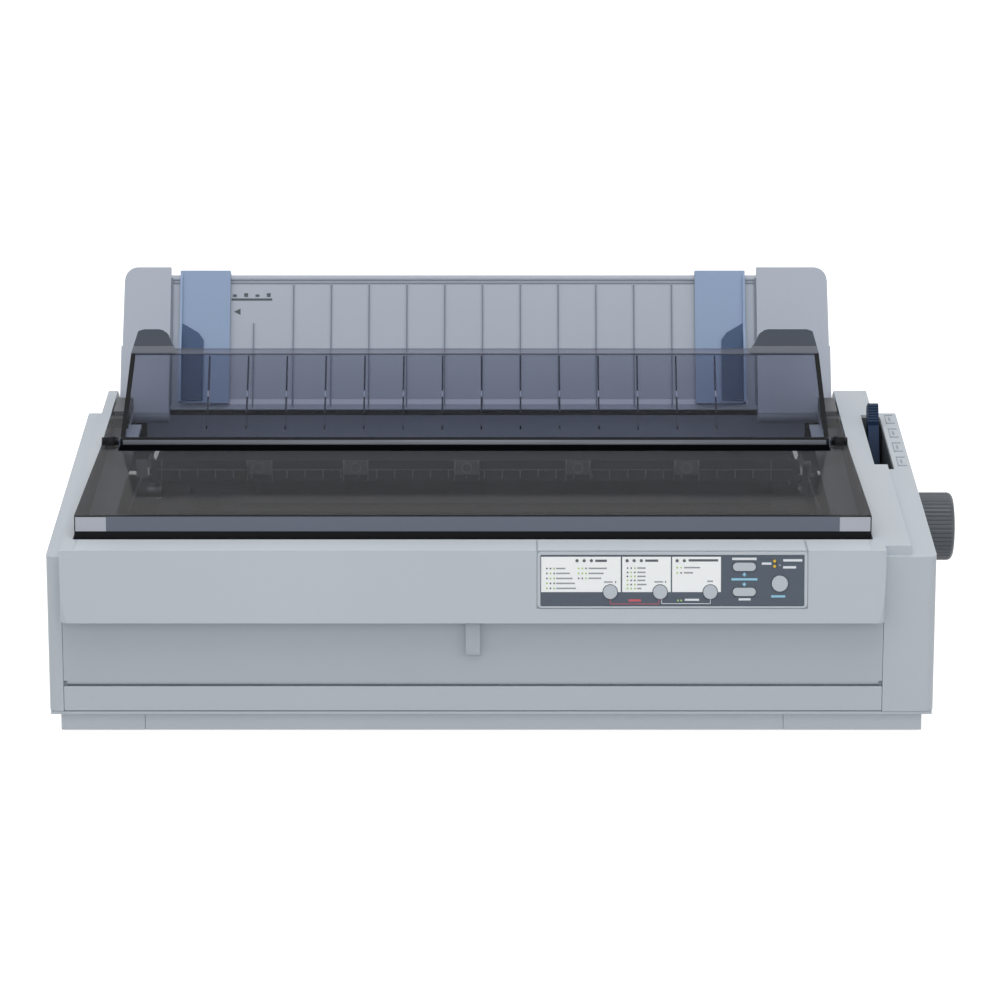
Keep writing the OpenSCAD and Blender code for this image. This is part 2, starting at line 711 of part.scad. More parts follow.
// Guide cover: a ribbed smoke plate on the printer cover, with a flange and two ears along its top
guide_half = cover_half - arm_w - cover_gap;
guide_taper = 4.5;
guide_ribs = 14;
guide_rib_pitch = 28.46;
guide_rib_x = -194.4;
flange_l = 10;
flange_rise = 10;
ear_w = 21;
ear_w_right = 38.4;
ear_sweep = 12;
ear_steps = 8;
function ear_side(w) = [
  for (i = [0 : ear_steps]) let (t = i / ear_steps)
    [w + ear_sweep * t, flange_l + (ear_l - 5 - flange_l) * (1 + cos(180 * t)) / 2]
];
function ear_outline(w, half) = concat(
  [[0, 0], [1, ear_l - 4], [5, ear_l], [w - 4, ear_l], [w - 1, ear_l - 2]],
  ear_side(w), [[half, flange_l], [half, 0]]
);
module guide_cover() {
  top_half = guide_half - guide_taper;
  color(smoke) translate([mid, guide_pivot[0], guide_pivot[1]]) {
    rotate([guide_angle, 0, 0]) {
      translate([0, 0, -cover_t / 2]) linear_extrude(cover_t)
        polygon([[-guide_half, 0], [guide_half, 0], [top_half, guide_l], [-top_half, guide_l]]);
      for (i = [0 : guide_ribs - 1])
        slab(guide_rib_x + i * guide_rib_pitch - 0.6, guide_rib_x + i * guide_rib_pitch + 0.6,
             [[12, -cover_t / 2 + 0.1], [18, -7], [guide_l - 8, -8], [guide_l - 2, -cover_t / 2 + 0.1]]);
    }
    bar(-guide_half, guide_half, [0, 0], knuckle_r);
    bar(-guide_half - arm_w + 1, guide_half + arm_w - 1, [0, 0], pin_r);
    translate([0, guide_l * cos(guide_angle), guide_l * sin(guide_angle)])
      rotate([flange_rise, 0, 0]) translate([0, -cover_t / 2, -cover_t / 2]) linear_extrude(cover_t)
        for (s = [0, 1]) mirror([s, 0]) translate([-top_half, 0])
          polygon(ear_outline([ear_w, ear_w_right][s], top_half + 0.01));
  }
}

// Sheet guide: a ribbed panel between two ears, which tilts back about pins in the rails
sheet_half = open_half - 1.5;
sheet_top_half = sheet_half - 2;
sheet_in = sheet_half - sheet_ear_w;
sheet_in_right = sheet_half - sheet_ear_wide;
ear_step = 3.5;
panel_top = sheet_l - 5.7;
sheet_ribs = 11;
sheet_rib_pitch = 28.75;
sheet_rib_x = -138.7;
sheet_corner = 10;
hub_r = 6;
module on_sheet() {
  translate([mid, sheet_pivot[0], sheet_pivot[1]]) rotate([sheet_lean, 0, 0]) children();
}
module sheet_ear(inner) {
  translate([0, 0, -sheet_t / 2]) linear_extrude(ear_step + sheet_t / 2) difference() {
    polygon([[inner, -2], [sheet_half, -2], [sheet_top_half, sheet_l], [inner, sheet_l]]);
    translate([sheet_top_half - sheet_corner, sheet_l - sheet_corner]) difference() {
      square(sheet_corner * 2);
      circle(sheet_corner);
    }
  }
  slab(inner, sheet_half, [[0, ear_step - 1], [0, ear_step + 3], [53, ear_step], [53, ear_step - 1]]);
  bar(inner, sheet_half, [0, 0], hub_r);
}
module sheet_guide() {
  color(panel_grey) on_sheet() difference() {
    union() {
      translate([-sheet_in - 1, 4, -sheet_t / 2])
        cube([sheet_in + sheet_in_right + 2, panel_top - 4, sheet_t]);
      bar(-sheet_in - 1, sheet_in_right + 1, [panel_top - 2.5, 0.3], 2.3);
      for (i = [0 : sheet_ribs - 1])
        translate([sheet_rib_x + i * sheet_rib_pitch - 0.6, 6, 0]) cube([1.2, panel_top - 13, sheet_t / 2 + 1.2]);
      translate([sheet_rib_x - sheet_rib_pitch - 2, 6, 0]) cube([1.2, 65, sheet_t / 2 + 1.2]);
      mirror([1, 0, 0]) sheet_ear(sheet_in);
      sheet_ear(sheet_in_right);
    }
    for (s = [-1, 1]) bar(s * sheet_half - 14, s * sheet_half + 14, [0, 0], pin_r + run_fit);
  }
}

// One edge guide, at the left; it hooks over the top of the sheet guide
edge_t = 2;
edge_clear = 2.9;
hook_t = 2;
module edge_guide(outer) {
  on_sheet() translate([-outer, 0, 0]) {
    slab(0, edge_w, [
      [8, edge_clear], [8, edge_clear + edge_t], [panel_top + 2.8, edge_clear + edge_t],
      [panel_top + 2.8, -3.2 - hook_t], [panel_top - 8, -3.2 - hook_t], [panel_top - 8, -3.2],
      [panel_top + 0.6, -3.2], [panel_top + 0.6, edge_clear]]);
    slab(0, edge_t, [
      [8, edge_clear + 1], [8, edge_clear + 8], [56, edge_clear + 8], [66, edge_clear + 4],
      [panel_top - 4, edge_clear + 4], [panel_top + 1, edge_clear + 1]]);
    translate([0, 0, edge_clear + edge_t - 0.1]) linear_extrude(1.6)
      polygon([[0, 10], [17.5, 10], [17.5, 42], [14, 47], [0, 56]]);
  }
}
module edge_guide_left() { color(guide_blue) edge_guide(edge_x); }
module edge_guide_right() {
  color(guide_blue) translate([2 * mid, 0, 0]) mirror([1, 0, 0]) edge_guide(edge_x_right);
}

// Paper release lever and the pin it swings on
lever_hub_r = 8;
module release_lever() {
  top = lever_l;
  color(lever_blue) translate([0, lever_pivot[0], lever_pivot[1]]) rotate([-lever_swing, 0, 0])
    difference() {
      union() {
        bar(lever_x - lever_t / 2, lever_x + lever_t / 2, [0, 0], lever_hub_r);
        slab(lever_x - lever_t / 2, lever_x + lever_t / 2, [
          [-5.5, 0], [-5.5, top - 17], [-7, top - 15],
          for (i = [0 : 6]) each [[-7.6, top - 14.6 + i * 2], [-7, top - 13.4 + i * 2]],
          [-5, top], [4, top], [6.5, top - 3], [6.5, top - 16], [5.5, top - 20], [5.5, 0]]);
      }
      bar(lever_x - lever_t, lever_x + lever_t, [0, 0], stud_r + run_fit);
    }
}

// Small lever that sets the head's distance from the platen
thickness_at = platen_at + [-38, 6];
module thickness_lever() {
  x0 = plate_in - gap - 4;
  color(body_grey) mech() difference() {
    union() {
      bar(x0, x0 + 4, thickness_at, 7);
      slab(x0, x0 + 4, [for (p = [[-4, 0], [-3, 19], [-10, 22], [-10, 25], [3, 25], [4, 0]]) thickness_at + p]);
    }
    bar(x0 - 1, x0 + 5, thickness_at, stud_r + run_fit);
  }
}

// Two steel side plates that carry every shaft
module side_plate(holes) {
  difference() {
    slab(plate_in, plate_out, [
      [plate_y0, pan_z + pan_t], [plate_y0, plate_top - 14], [plate_y0 + 22, plate_top],
      [plate_y1 - 60, plate_top], [plate_y1, 96], [plate_y1, pan_z + pan_t]]);
    for (h = holes) bar(plate_in - 1, plate_out + 1, [h[0], h[1]], h[2]);
  }
}
shared_holes = [
  [platen_at[0], platen_at[1], platen_shaft_r + run_fit],
  [carriage_at[0], carriage_at[1], carriage_shaft_r + run_fit],
  [tractor_at[0], tractor_at[1], journal_r + run_fit],
  [tractor_rod_at[0], tractor_rod_at[1], platen_shaft_r + run_fit],
  [pressure_at[0], pressure_at[1], journal_r + run_fit],
  [bail_pivot[0], bail_pivot[1], bail_bar_r + run_fit]
];
module side_plate_left() {
  color(steel) mech() mirror([1, 0, 0]) side_plate(shared_holes);
}
module side_plate_right() {
  color(steel) mech() side_plate(concat(shared_holes, [
    [knob_at[0], knob_at[1], platen_shaft_r + run_fit],
    [pinion_at[0], pinion_at[1], 5],
    [idler_a_at[0], idler_a_at[1], stud_r + run_fit],
    [idler_b_at[0], idler_b_at[1], stud_r + run_fit],
    [lever_pivot[0], lever_pivot[1], stud_r + run_fit],
    [thickness_at[0], thickness_at[1], stud_r + run_fit]
  ]));
}

// Studs on the right side plate: two idler gears, the release lever and the thickness lever turn on them
module plate_studs() {
  color(steel) {
    mech() for (s = [idler_a_at, idler_b_at]) {
      bar(plate_in - 1, gear_x + gear_w + 2, s, stud_r);
      bar(gear_x + gear_w + gap, gear_x + gear_w + 2, s, stud_r + 2);
    }
    bar(mid + plate_in - 1, lever_x + lever_t / 2 + 3, lever_pivot, stud_r);
    bar(lever_x + lever_t / 2 + gap, lever_x + lever_t / 2 + 3, lever_pivot, stud_r + 2);
    mech() bar(plate_in - 6, plate_out + 1, thickness_at, stud_r);
    mech() bar(plate_in - 6, plate_in - 4 - 2 * gap, thickness_at, stud_r + 1.5);
  }
}

// Floor of the chassis, with the post of the belt's idler pulley
module chassis_pan() {
  color(steel) mech() difference() {
    union() {
      block([-plate_out, plate_y0, pan_z], [plate_out, plate_y1, pan_z + pan_t]);
      translate([pulley_x, belt_y, pan_z]) cylinder(r = stud_r, h = belt_z + belt_w + 3 - pan_z);
      translate([pulley_x, belt_y, pan_z]) cylinder(r = stud_r + 3, h = belt_z - 1 - gap - pan_z);
    }
    for (p = pan_posts) translate([p[0], p[1], pan_z - 1]) cylinder(r = screw_r + run_fit, h = pan_t + 2);
  }
}

// Carriage shaft, tractor rod, front rail and the beam under the ribbon cartridge
module rails_and_shafts() {
  color(steel) mech() {
    bar(-plate_out - 2, plate_out + 2, carriage_at, carriage_shaft_r);
    bar(-plate_out - 2, plate_out + 2, tractor_rod_at, platen_shaft_r);
    block([-plate_in, rail_at[0] - 6, rail_at[1] - 5], [plate_in, rail_at[0] + 6, rail_at[1]]);
    block([-plate_in, cart_y0 - 2, cart_z - 10], [plate_in, cart_y0 + 10, cart_z - gap]);
  }
}

// Rubber platen and its shaft
platen_bore = 12;
module platen() {
  color(dark) mech() difference() {
    bar(-platen_half, platen_half, platen_at, platen_r);
    bar(-platen_half - 1, platen_half + 1, platen_at, platen_bore);
  }
}
module platen_shaft() {
  color(steel) mech() {
    bar(-plate_out - 3, gear_x + gear_w + 1, platen_at, platen_shaft_r);
    for (s = [-1, 1]) bar(s * (platen_half - 12) - 8, s * (platen_half - 12) + 8, platen_at, platen_bore - run_fit);
    gear(gear_z, platen_at, 0, 0);
  }
}

// Platen knob, its shaft and gear
knob_phase = mesh_phase(knob_gear_z, gear_z, 0, platen_at, knob_at);
flute_r = 1;
module knob_shaft() {
  color(steel) mech() {
    bar(plate_in - 4, x_right - mid + knob_gap + 22, knob_at, platen_shaft_r);
    gear(knob_gear_z, knob_at, 0, knob_phase);
  }
}
module platen_knob() {
  x0 = x_right + knob_gap;
  color(dark) difference() {
    translate([x0, knob_at[0], knob_at[1]]) rotate([90, 0, 90]) difference() {
      rotate_extrude($fn = 96) polygon([
        [0, 0], [knob_r - 3, 0], [knob_r - 3, 4], [knob_r, 4], [knob_r, knob_l - 4],
        for (a = [0 : 15 : 90]) [knob_r - 4 + 4 * cos(a), knob_l - 4 + 4 * sin(a)],
        [0, knob_l]]);
      for (i = [0 : knob_flutes - 1]) rotate(i * 360 / knob_flutes)
        translate([knob_r + 0.3, 0, 5]) cylinder(r = flute_r, h = knob_l, $fn = 6);
    }
    bar(x0 - 1, x0 + 22, knob_at, platen_shaft_r + run_fit);
  }
}

// Idler gears from the platen to the tractors
idler_a_phase = mesh_phase(gear_z, gear_z, 0, platen_at, idler_a_at);
idler_b_phase = mesh_phase(gear_z, gear_z, idler_a_phase, idler_a_at, idler_b_at);
tractor_phase = mesh_phase(gear_z, gear_z, idler_b_phase, idler_b_at, tractor_at);
pinion_phase = mesh_phase(pinion_z, gear_z, idler_b_phase, idler_b_at, pinion_at);
module idler_gear_front() {
  color(gear_white) mech() gear(gear_z, idler_a_at, stud_r + run_fit, idler_a_phase);
}
module idler_gear_rear() {
  color(gear_white) mech() gear(gear_z, idler_b_at, stud_r + run_fit, idler_b_phase);
}

// Feed motor on the right side plate and carriage motor on the pan
feed_motor_r = 17;
carriage_motor_r = 20;
module motors() {
  color(dark) mech() {
    difference() {
      union() {
        bar(plate_in - 40, plate_in - gap, pinion_at, feed_motor_r);
        bar(plate_in - gap - 1, plate_in, pinion_at, feed_motor_r - 4);
      }
      bar(plate_in - 20, plate_in + 1, pinion_at, pin_r + run_fit);
    }
    difference() {
      translate([-pulley_x, belt_y, pan_z + pan_t]) cylinder(r = carriage_motor_r, h = belt_z - 5 - pan_z - pan_t);
      translate([-pulley_x, belt_y, pan_z + pan_t + 8]) cylinder(r = pin_r + run_fit, h = 60);
    }
  }
}
module feed_pinion() {
  color(steel) mech() {
    bar(plate_in - 18, gear_x + gear_w + 1, pinion_at, pin_r);
    gear(pinion_z, pinion_at, 0, pinion_phase);
  }
}

// Square tractor shaft with its gear
square_a = 6;
module tractor_shaft() {
  color(steel) mech() {
    block([-plate_in + 1, tractor_at[0] - square_a / 2, tractor_at[1] - square_a / 2],
          [plate_in - 1, tractor_at[0] + square_a / 2, tractor_at[1] + square_a / 2]);
    bar(-plate_out - 2, gear_x + gear_w + 1, tractor_at, journal_r);
    gear(gear_z, tractor_at, 0, tractor_phase);
  }
}

// Tractors: a block that slides along the rod, with a pin wheel on the square shaft
tractor_x = [-plate_in + 43, plate_in - 115];
tractor_y0 = tractor_at[0] - 15;
tractor_y1 = tractor_rod_at[0] + 12;
tractor_z0 = tractor_at[1] - 13;
tractor_z1 = tractor_at[1] + 11;
wheel_w = 7;
wheel_hub_r = 6.5;
lid_t = 3;
lid_gap = 0.4;
lid_pin_r = 1.5;
lid_hinge_z = tractor_z1 + 2.4;
module tractor() {
  difference() {
    union() {
      block([0, tractor_y0, tractor_z0], [tractor_w, tractor_y1, tractor_z1]);
      for (y = [tractor_y0, tractor_y1 - 5])
        translate([1.8, y, lid_hinge_z]) rotate([-90, 0, 0]) cylinder(r = lid_pin_r, h = 5);
      for (y = [tractor_y0, tractor_y1 - 2]) block([0.4, y, tractor_z1 - 1], [3.2, y + 2, lid_hinge_z + 1]);
    }
    translate([-1, 0, 0]) bar(0, tractor_w + 2, tractor_rod_at, platen_shaft_r + run_fit);
    bar(-1, tractor_w + 1, tractor_at, wheel_hub_r + gap);
    block([tractor_w / 2 - wheel_w / 2 - gap, tractor_y0 - 1, tractor_at[1] - sprocket_r - 2 - 1],
          [tractor_w / 2 + wheel_w / 2 + gap, tractor_at[0] + sprocket_r + 3, tractor_z1 + 5]);
  }
}
module sprocket() {
  difference() {
    union() {
      bar(tractor_w / 2 - wheel_w / 2, tractor_w / 2 + wheel_w / 2, tractor_at, sprocket_r);
      bar(1, tractor_w - 1, tractor_at, wheel_hub_r);
      for (i = [0 : sprocket_pins - 1])
        translate([tractor_w / 2, tractor_at[0], tractor_at[1]]) rotate([i * 360 / sprocket_pins, 0, 0])
          cylinder(r = 1.3, h = sprocket_r + 2, $fn = 12);
    }
    block([-1, tractor_at[0] - square_a / 2 - 0.1, tractor_at[1] - square_a / 2 - 0.1],
          [tractor_w + 1, tractor_at[0] + square_a / 2 + 0.1, tractor_at[1] + square_a / 2 + 0.1]);
  }
}
module tractor_lid() {
  difference() {
    union() {
      block([1.8, tractor_y0 + 5.4, tractor_z1 + lid_gap], [tractor_w, tractor_y1 - 5.4, tractor_z1 + lid_gap + lid_t]);
      translate([1.8, tractor_y0 + 5.4, lid_hinge_z]) rotate([-90, 0, 0])
        cylinder(r = 1.8, h = tractor_y1 - tractor_y0 - 10.8);
    }
    block([tractor_w / 2 - wheel_w / 2, tractor_y0 + 4, tractor_z1 - 2],
          [tractor_w / 2 + wheel_w / 2, tractor_at[0] + sprocket_r + 3, tractor_z1 + 20]);
  }
}
module at_tractor(side) {
  translate([mid + tractor_x[side], 0, 0]) translate([side * tractor_w, 0, 0]) mirror([side, 0, 0]) children();
}
module tractor_left() { color(dark) at_tractor(0) tractor(); }
module tractor_right() { color(dark) at_tractor(1) tractor(); }
module sprocket_left() { color(gear_white) at_tractor(0) sprocket(); }
module sprocket_right() { color(gear_white) at_tractor(1) sprocket(); }
module tractor_lid_left() { color(body_grey) at_tractor(0) tractor_lid(); }
module tractor_lid_right() { color(body_grey) at_tractor(1) tractor_lid(); }

// Paper bail: a round bar with a ruled strip, on two arms that pivot in the side plates
bail_arm_x = plate_in - 8;
ruled_t = 0.8;
module paper_bail() {
  color(dark) mech() {
    bar(-bail_arm_x - 1, bail_arm_x + 1, bail_at, bail_bar_r);
    both_sides() {
      slab(bail_arm_x, bail_arm_x + 3, [
        bail_at + [-14, -1.5], bail_at + [-14, 2], bail_at + [-3, 5], bail_at + [4, 6], bail_pivot + [5, 6],
        bail_pivot + [6, -4], bail_pivot + [-2, -5.5], bail_at + [6, -2]]);
      bar(bail_arm_x, plate_out + 1, bail_pivot, bail_bar_r);
    }
    block([-bail_arm_x - 1, bail_at[0] - 14, bail_at[1]],
          [bail_arm_x + 1, bail_at[0] - bail_roller_r - 2 * gap, bail_at[1] + ruled_t]);
  }
}
roller_l = 17;
roller_x = [-151, -81, 1, 80, 158];
module bail_rollers() {
  color([0.5, 0.5, 0.52]) mech() for (x = roller_x) difference() {
    bar(x - roller_l / 2, x + roller_l / 2, bail_at, bail_roller_r);
    bar(x - roller_l / 2 - 1, x + roller_l / 2 + 1, bail_at, bail_bar_r + run_fit);
  }
}

// Carriage on its shaft, with a foot over the front rail and a clip on the belt
carriage_x = carriage_home;
carriage_z1 = cart_z - 2;
head_y0 = platen_at[0] - platen_r - 52;
head_y1 = platen_at[0] - platen_r - nose_gap;
clip_w = 20;
module carriage() {
  color(dark) mech() translate([carriage_x, 0, 0]) difference() {
    union() {
      block([-carriage_w / 2, rail_at[0] - 6, carriage_at[1] - 9], [carriage_w / 2, head_y0 + 34, carriage_z1]);
      block([-carriage_w / 2 + 8, rail_at[0] - 5, rail_at[1] + gap],
            [carriage_w / 2 - 8, rail_at[0] + 5, carriage_at[1] - 8]);
      block([-clip_w / 2, belt_y - pulley_r - 4, belt_z - 2],
            [clip_w / 2, belt_y - pulley_r + 4, carriage_at[1] - 8]);
    }
    bar(-carriage_w, carriage_w, carriage_at, carriage_shaft_r + run_fit);
    block([-clip_w, belt_y - pulley_r - belt_t - gap, belt_z - gap],
          [clip_w, belt_y - pulley_r + gap, belt_z + belt_w + gap]);
  }
}

// Print head: a finned body with a nose that ends just before the ribbon
head_fins = 6;
head_z0 = carriage_z1;
head_z1 = platen_z + 13;
nose_w = 18;
nose_h = 9;
module print_head() {
  color([0.25, 0.26, 0.27]) mech() translate([carriage_x, 0, 0]) {
    block([-head_w / 2, head_y0, head_z0], [head_w / 2, head_y1 - 22, platen_z]);
    for (i = [0 : head_fins - 1]) {
      y = head_y0 + i * (head_y1 - 22 - head_y0 - 2.5) / (head_fins - 1);
      block([-head_w / 2, y, platen_z - 1], [head_w / 2, y + 2.5, head_z1]);
    }
    slab(-nose_w / 2, nose_w / 2, [
      [head_y1 - 23, platen_z - 9], [head_y1 - 23, platen_z + 9],
      [head_y1 - 6, platen_z + nose_h / 2], [head_y1, platen_z + nose_h / 2 - 1],
      [head_y1, platen_z - nose_h / 2 + 1], [head_y1 - 6, platen_z - nose_h / 2]]);
  }
}

// Belt round two pulleys under the carriage
module timing_belt() {
  color(dark) mech() translate([0, belt_y, belt_z]) linear_extrude(belt_w) difference() {
    slot_shape(2 * (pulley_x + pulley_r + belt_t), 2 * (pulley_r + belt_t));
    slot_shape(2 * (pulley_x + pulley_r + 0.02), 2 * (pulley_r + 0.02));
  }
}
module pulley() {
  difference() {
    union() {
      translate([0, 0, belt_z - 1]) cylinder(r = pulley_r, h = belt_w + 2);
      translate([0, 0, belt_z - 1]) cylinder(r = pulley_r + 2, h = 0.8);
      translate([0, 0, belt_z + belt_w + 0.2]) cylinder(r = pulley_r + 2, h = 0.8);
    }
    translate([0, 0, belt_z - 2]) cylinder(r = stud_r + run_fit, h = belt_w + 5);
  }
}
module drive_pulley() {
  color(gear_white) mech() translate([-pulley_x, belt_y, 0]) {
    pulley();
    translate([0, 0, pan_z + pan_t + 10]) cylinder(r = pin_r, h = belt_z - pan_z - pan_t - 10.5);
    translate([0, 0, belt_z - 1]) cylinder(r = stud_r + run_fit, h = belt_w + 2);
  }
}
module idler_pulley() {
  color(gear_white) mech() translate([pulley_x, belt_y, 0]) pulley();
}

// Ribbon cartridge as wide as the platen, with an arm at each end that carries the ribbon past the head
arm_z0 = platen_z - 8;
arm_z1 = platen_z + 10;
ribbon_t = 0.2;
ribbon_y = platen_at[0] - platen_r - 0.75;
arm_y1 = ribbon_y - gap;
cart_pocket = 1.5;
module ribbon_cartridge() {
  color([0.1, 0.1, 0.11]) mech() difference() {
    union() {
      block([cart_x0, cart_y0, cart_z], [cart_x1, cart_y1, cart_z + cart_h]);
      for (x = [cart_x0 - cart_arm_w, cart_x1 - cart_arm_w])
        block([x, cart_y0 + 12, arm_z0], [x + cart_arm_w, arm_y1, arm_z1]);
      block([cart_x0 - cart_arm_w, cart_y0 + 12, arm_z0], [cart_x0 + 1, cart_y1 - 4, arm_z1]);
    }
    block([cart_x0 + 40, cart_y0 + 10, cart_z + cart_h - cart_pocket], [cart_x1 - 26, cart_y0 + 28, cart_z + cart_h + 1]);
    translate([cart_x0 + 20, cart_y0 + 24, cart_z + cart_h - 14]) cylinder(r = 3 + run_fit, h = 20);
  }
}
module ribbon() {
  color([0.05, 0.05, 0.06]) mech()
    block([cart_x0 - cart_arm_w / 2, ribbon_y, platen_z - 6], [cart_x1 - cart_arm_w / 2, ribbon_y + ribbon_t, platen_z + 6]);
}
module ribbon_knob() {
  color(dark) mech() translate([cart_x0 + 20, cart_y0 + 24, cart_z + cart_h]) {
    translate([0, 0, -12]) cylinder(r = 3, h = 13);
    difference() {
      translate([0, 0, gap]) cylinder(r = 8, h = 6);
      for (i = [0 : 11]) rotate(i * 30) translate([8.4, 0, -1]) cylinder(r = 1.2, h = 10, $fn = 8);
    }
  }
}

// Sheet metal guide from the front slot to under the platen, on two feet
guide_w = 184;
module paper_guide() {
  y0 = y_face + 84;
  color(steel) mech() {
    slab(-guide_w, guide_w, [
      [y0, 42], [y0, 43.5], [platen_at[0] - 44, 50], [platen_at[0] - 13, 82],
      [platen_at[0] - 11.6, 81], [platen_at[0] - 43, 48.4]]);
    for (x = [-guide_w + 10, guide_w - 18]) block([x, y0 + 20, pan_z + pan_t], [x + 8, y0 + 22, 45]);
  }
}

// Pressure rollers on one shaft under the platen
pressure_l = 36;
module pressure_rollers() {
  color([0.3, 0.3, 0.31]) mech() {
    bar(-plate_out - 1, plate_out + 0.6, pressure_at, journal_r);
    for (x = [-180, -90, 0, 90, 180]) bar(x - pressure_l / 2, x + pressure_l / 2, pressure_at, pressure_r);
  }
}

// Main board with its largest parts, on four posts
module main_board() {
  color([0.1, 0.35, 0.2]) translate([mid + board_x - board_w / 2, board_y, board_z]) {
    cube([board_w, board_d, 1.6]);
    for (c = [[40, 60, 28, 28], [90, 64, 20, 34], [130, 70, 24, 12], [60, 104, 14, 10]])
      translate([c[0], c[1], 1]) cube([c[2], c[3], 3.2]);
    for (x = [22, 160, 184]) translate([x, 30, 1]) cylinder(r = 6, h = 11);
  }
}

// Power supply in its sheet metal case
supply_w = 130;
supply_d = 150;
supply_h = 22;
module power_supply() {
  color(steel) translate([x_left + 22, plate_y0 + 26, foot_h + floor_t + gap]) difference() {
    cube([supply_w, supply_d, supply_h]);
    for (i = [0 : 5]) translate([20 + i * 16, 30, supply_h - 1.5]) cube([6, 60, 3]);
  }
}

// Mains inlet and interface sockets, each a shell round its contacts, in the rear wall
shell_t = 1.2;
shell_d = 11;
module rear_socket(cut, blade) {
  y1 = y_rear;
  difference() {
    rear_hole_body(cut, -gap, y1 - shell_d, y1);
    rear_hole_body(cut, -gap - shell_t, y1 - shell_d + 2, y1 + 1);
  }
  block([cut[0] - cut[2] / 2 - 2, y_rear - wall - gap - 1.2, cut[1] - cut[3] / 2 - 2],
        [cut[0] - cut[2] / 2 + 1, y_rear - wall - gap, cut[1] + cut[3] / 2 + 2]);
  block([cut[0] + cut[2] / 2 - 1, y_rear - wall - gap - 1.2, cut[1] - cut[3] / 2 - 2],
        [cut[0] + cut[2] / 2 + 2, y_rear - wall - gap, cut[1] + cut[3] / 2 + 2]);
  for (b = blade) block([cut[0] + b[0] - b[2] / 2, y1 - shell_d + 1, cut[1] + b[1] - b[3] / 2],
                        [cut[0] + b[0] + b[2] / 2, y1 - 3, cut[1] + b[1] + b[3] / 2]);
}
module rear_hole_body(cut, grow, y0, y1) {
  block([cut[0] - cut[2] / 2 - grow, y0, cut[1] - cut[3] / 2 - grow],
        [cut[0] + cut[2] / 2 + grow, y1, cut[1] + cut[3] / 2 + grow]);
}
module rear_sockets() {
  color(dark) {
    rear_socket(inlet_cut, [[-7, -2, 2, 4], [0, 3, 2, 4], [7, -2, 2, 4]]);
    rear_socket(parallel_cut, [[0, 0, 54, 4]]);
    rear_socket(serial_cut, [[0, 0, 22, 4]]);
    rear_socket(usb_cut, [[0, 0, 5, 3]]);
  }
}

// Rocker switch beside the inlet, on a round pivot
rocker_at = [y_rear - 3.4, switch_cut[1]];
module power_switch() {
  w = switch_cut[2] / 2 - 1.6;
  color(dark) {
    slab(switch_cut[0] - w, switch_cut[0] + w, [
      for (p = [[-3, -4.4], [2.6, -5.2], [3.9, -5.4], [3.2, 0], [2.2, 5.4], [-3, 4.4]]) rocker_at + p]);
    bar(switch_cut[0] - w - 1, switch_cut[0] + w + 1, rocker_at, 1.2);
  }
}

lower_case();
upper_case();
base_strip();
lower_front_panel();
front_cover();
case_fasteners();
control_bezel();
panel_plate();
panel_board();
select_button_left();
select_button_middle();
select_button_right();
load_button();
feed_button();
pause_button();
printer_cover();
rear_trims();
guide_cover();
sheet_guide();
edge_guide_left();
edge_guide_right();
release_lever();
thickness_lever();
side_plate_left();
side_plate_right();
chassis_pan();
rails_and_shafts();
plate_studs();
platen();
platen_shaft();
platen_knob();
knob_shaft();
idler_gear_front();
idler_gear_rear();
motors();
feed_pinion();
tractor_shaft();
tractor_left();
tractor_right();
sprocket_left();
sprocket_right();
tractor_lid_left();
tractor_lid_right();
paper_bail();
bail_rollers();
carriage();
print_head();
timing_belt();
drive_pulley();
idler_pulley();
ribbon_cartridge();
ribbon();
ribbon_knob();
paper_guide();
pressure_rollers();
main_board();
power_supply();
rear_sockets();
power_switch();
feet();
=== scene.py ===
# %% [markdown]
# # A wide dot matrix printer
# The CAD model gives every part its exact place. This lesson gives the parts their finish:
# moulded grey plastic, smoke tinted covers, a printed control panel, rubber and plated steel.
# We load the imported parts first, and count them before adding anything.

# %% Load the frame
import bpy, bmesh, math
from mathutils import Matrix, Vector


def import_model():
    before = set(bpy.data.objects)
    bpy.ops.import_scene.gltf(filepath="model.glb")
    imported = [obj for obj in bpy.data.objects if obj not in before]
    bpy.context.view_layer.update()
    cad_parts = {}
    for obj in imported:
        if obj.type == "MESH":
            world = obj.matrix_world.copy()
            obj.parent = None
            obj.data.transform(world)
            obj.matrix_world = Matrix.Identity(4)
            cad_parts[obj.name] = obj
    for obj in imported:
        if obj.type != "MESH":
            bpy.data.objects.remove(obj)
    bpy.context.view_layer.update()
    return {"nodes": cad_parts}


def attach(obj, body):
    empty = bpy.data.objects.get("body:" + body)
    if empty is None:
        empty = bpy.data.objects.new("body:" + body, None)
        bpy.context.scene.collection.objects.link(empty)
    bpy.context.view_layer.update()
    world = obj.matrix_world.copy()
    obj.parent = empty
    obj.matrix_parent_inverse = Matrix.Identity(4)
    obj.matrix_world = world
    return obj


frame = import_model()
nodes = frame["nodes"]
print("CAD nodes:", len(nodes))

# %% [markdown]
# ## Camera
# The photograph was taken from far away and a little above, so the printer shows almost no
# perspective. A long lens at 2.67 m, tilted down by 13 degrees, gives the same view.

# %% Camera
MM = 0.001
MID = -32.05
camera_data = bpy.data.cameras.new("view_camera")
camera_data.lens = 136.8
camera_data.sensor_width = 36
camera_data.clip_end = 100
camera = bpy.data.objects.new("view_camera", camera_data)
camera.location = Vector((-13.7, -2668.4, 734.7)) * MM
camera.rotation_euler = (math.radians(77), 0, 0)
bpy.context.scene.collection.objects.link(camera)
bpy.context.scene.camera = camera

# %% [markdown]
# ## Colours
# Colours are noted as they look on a screen. Blender mixes light in linear values, so each one is
# converted once, here.

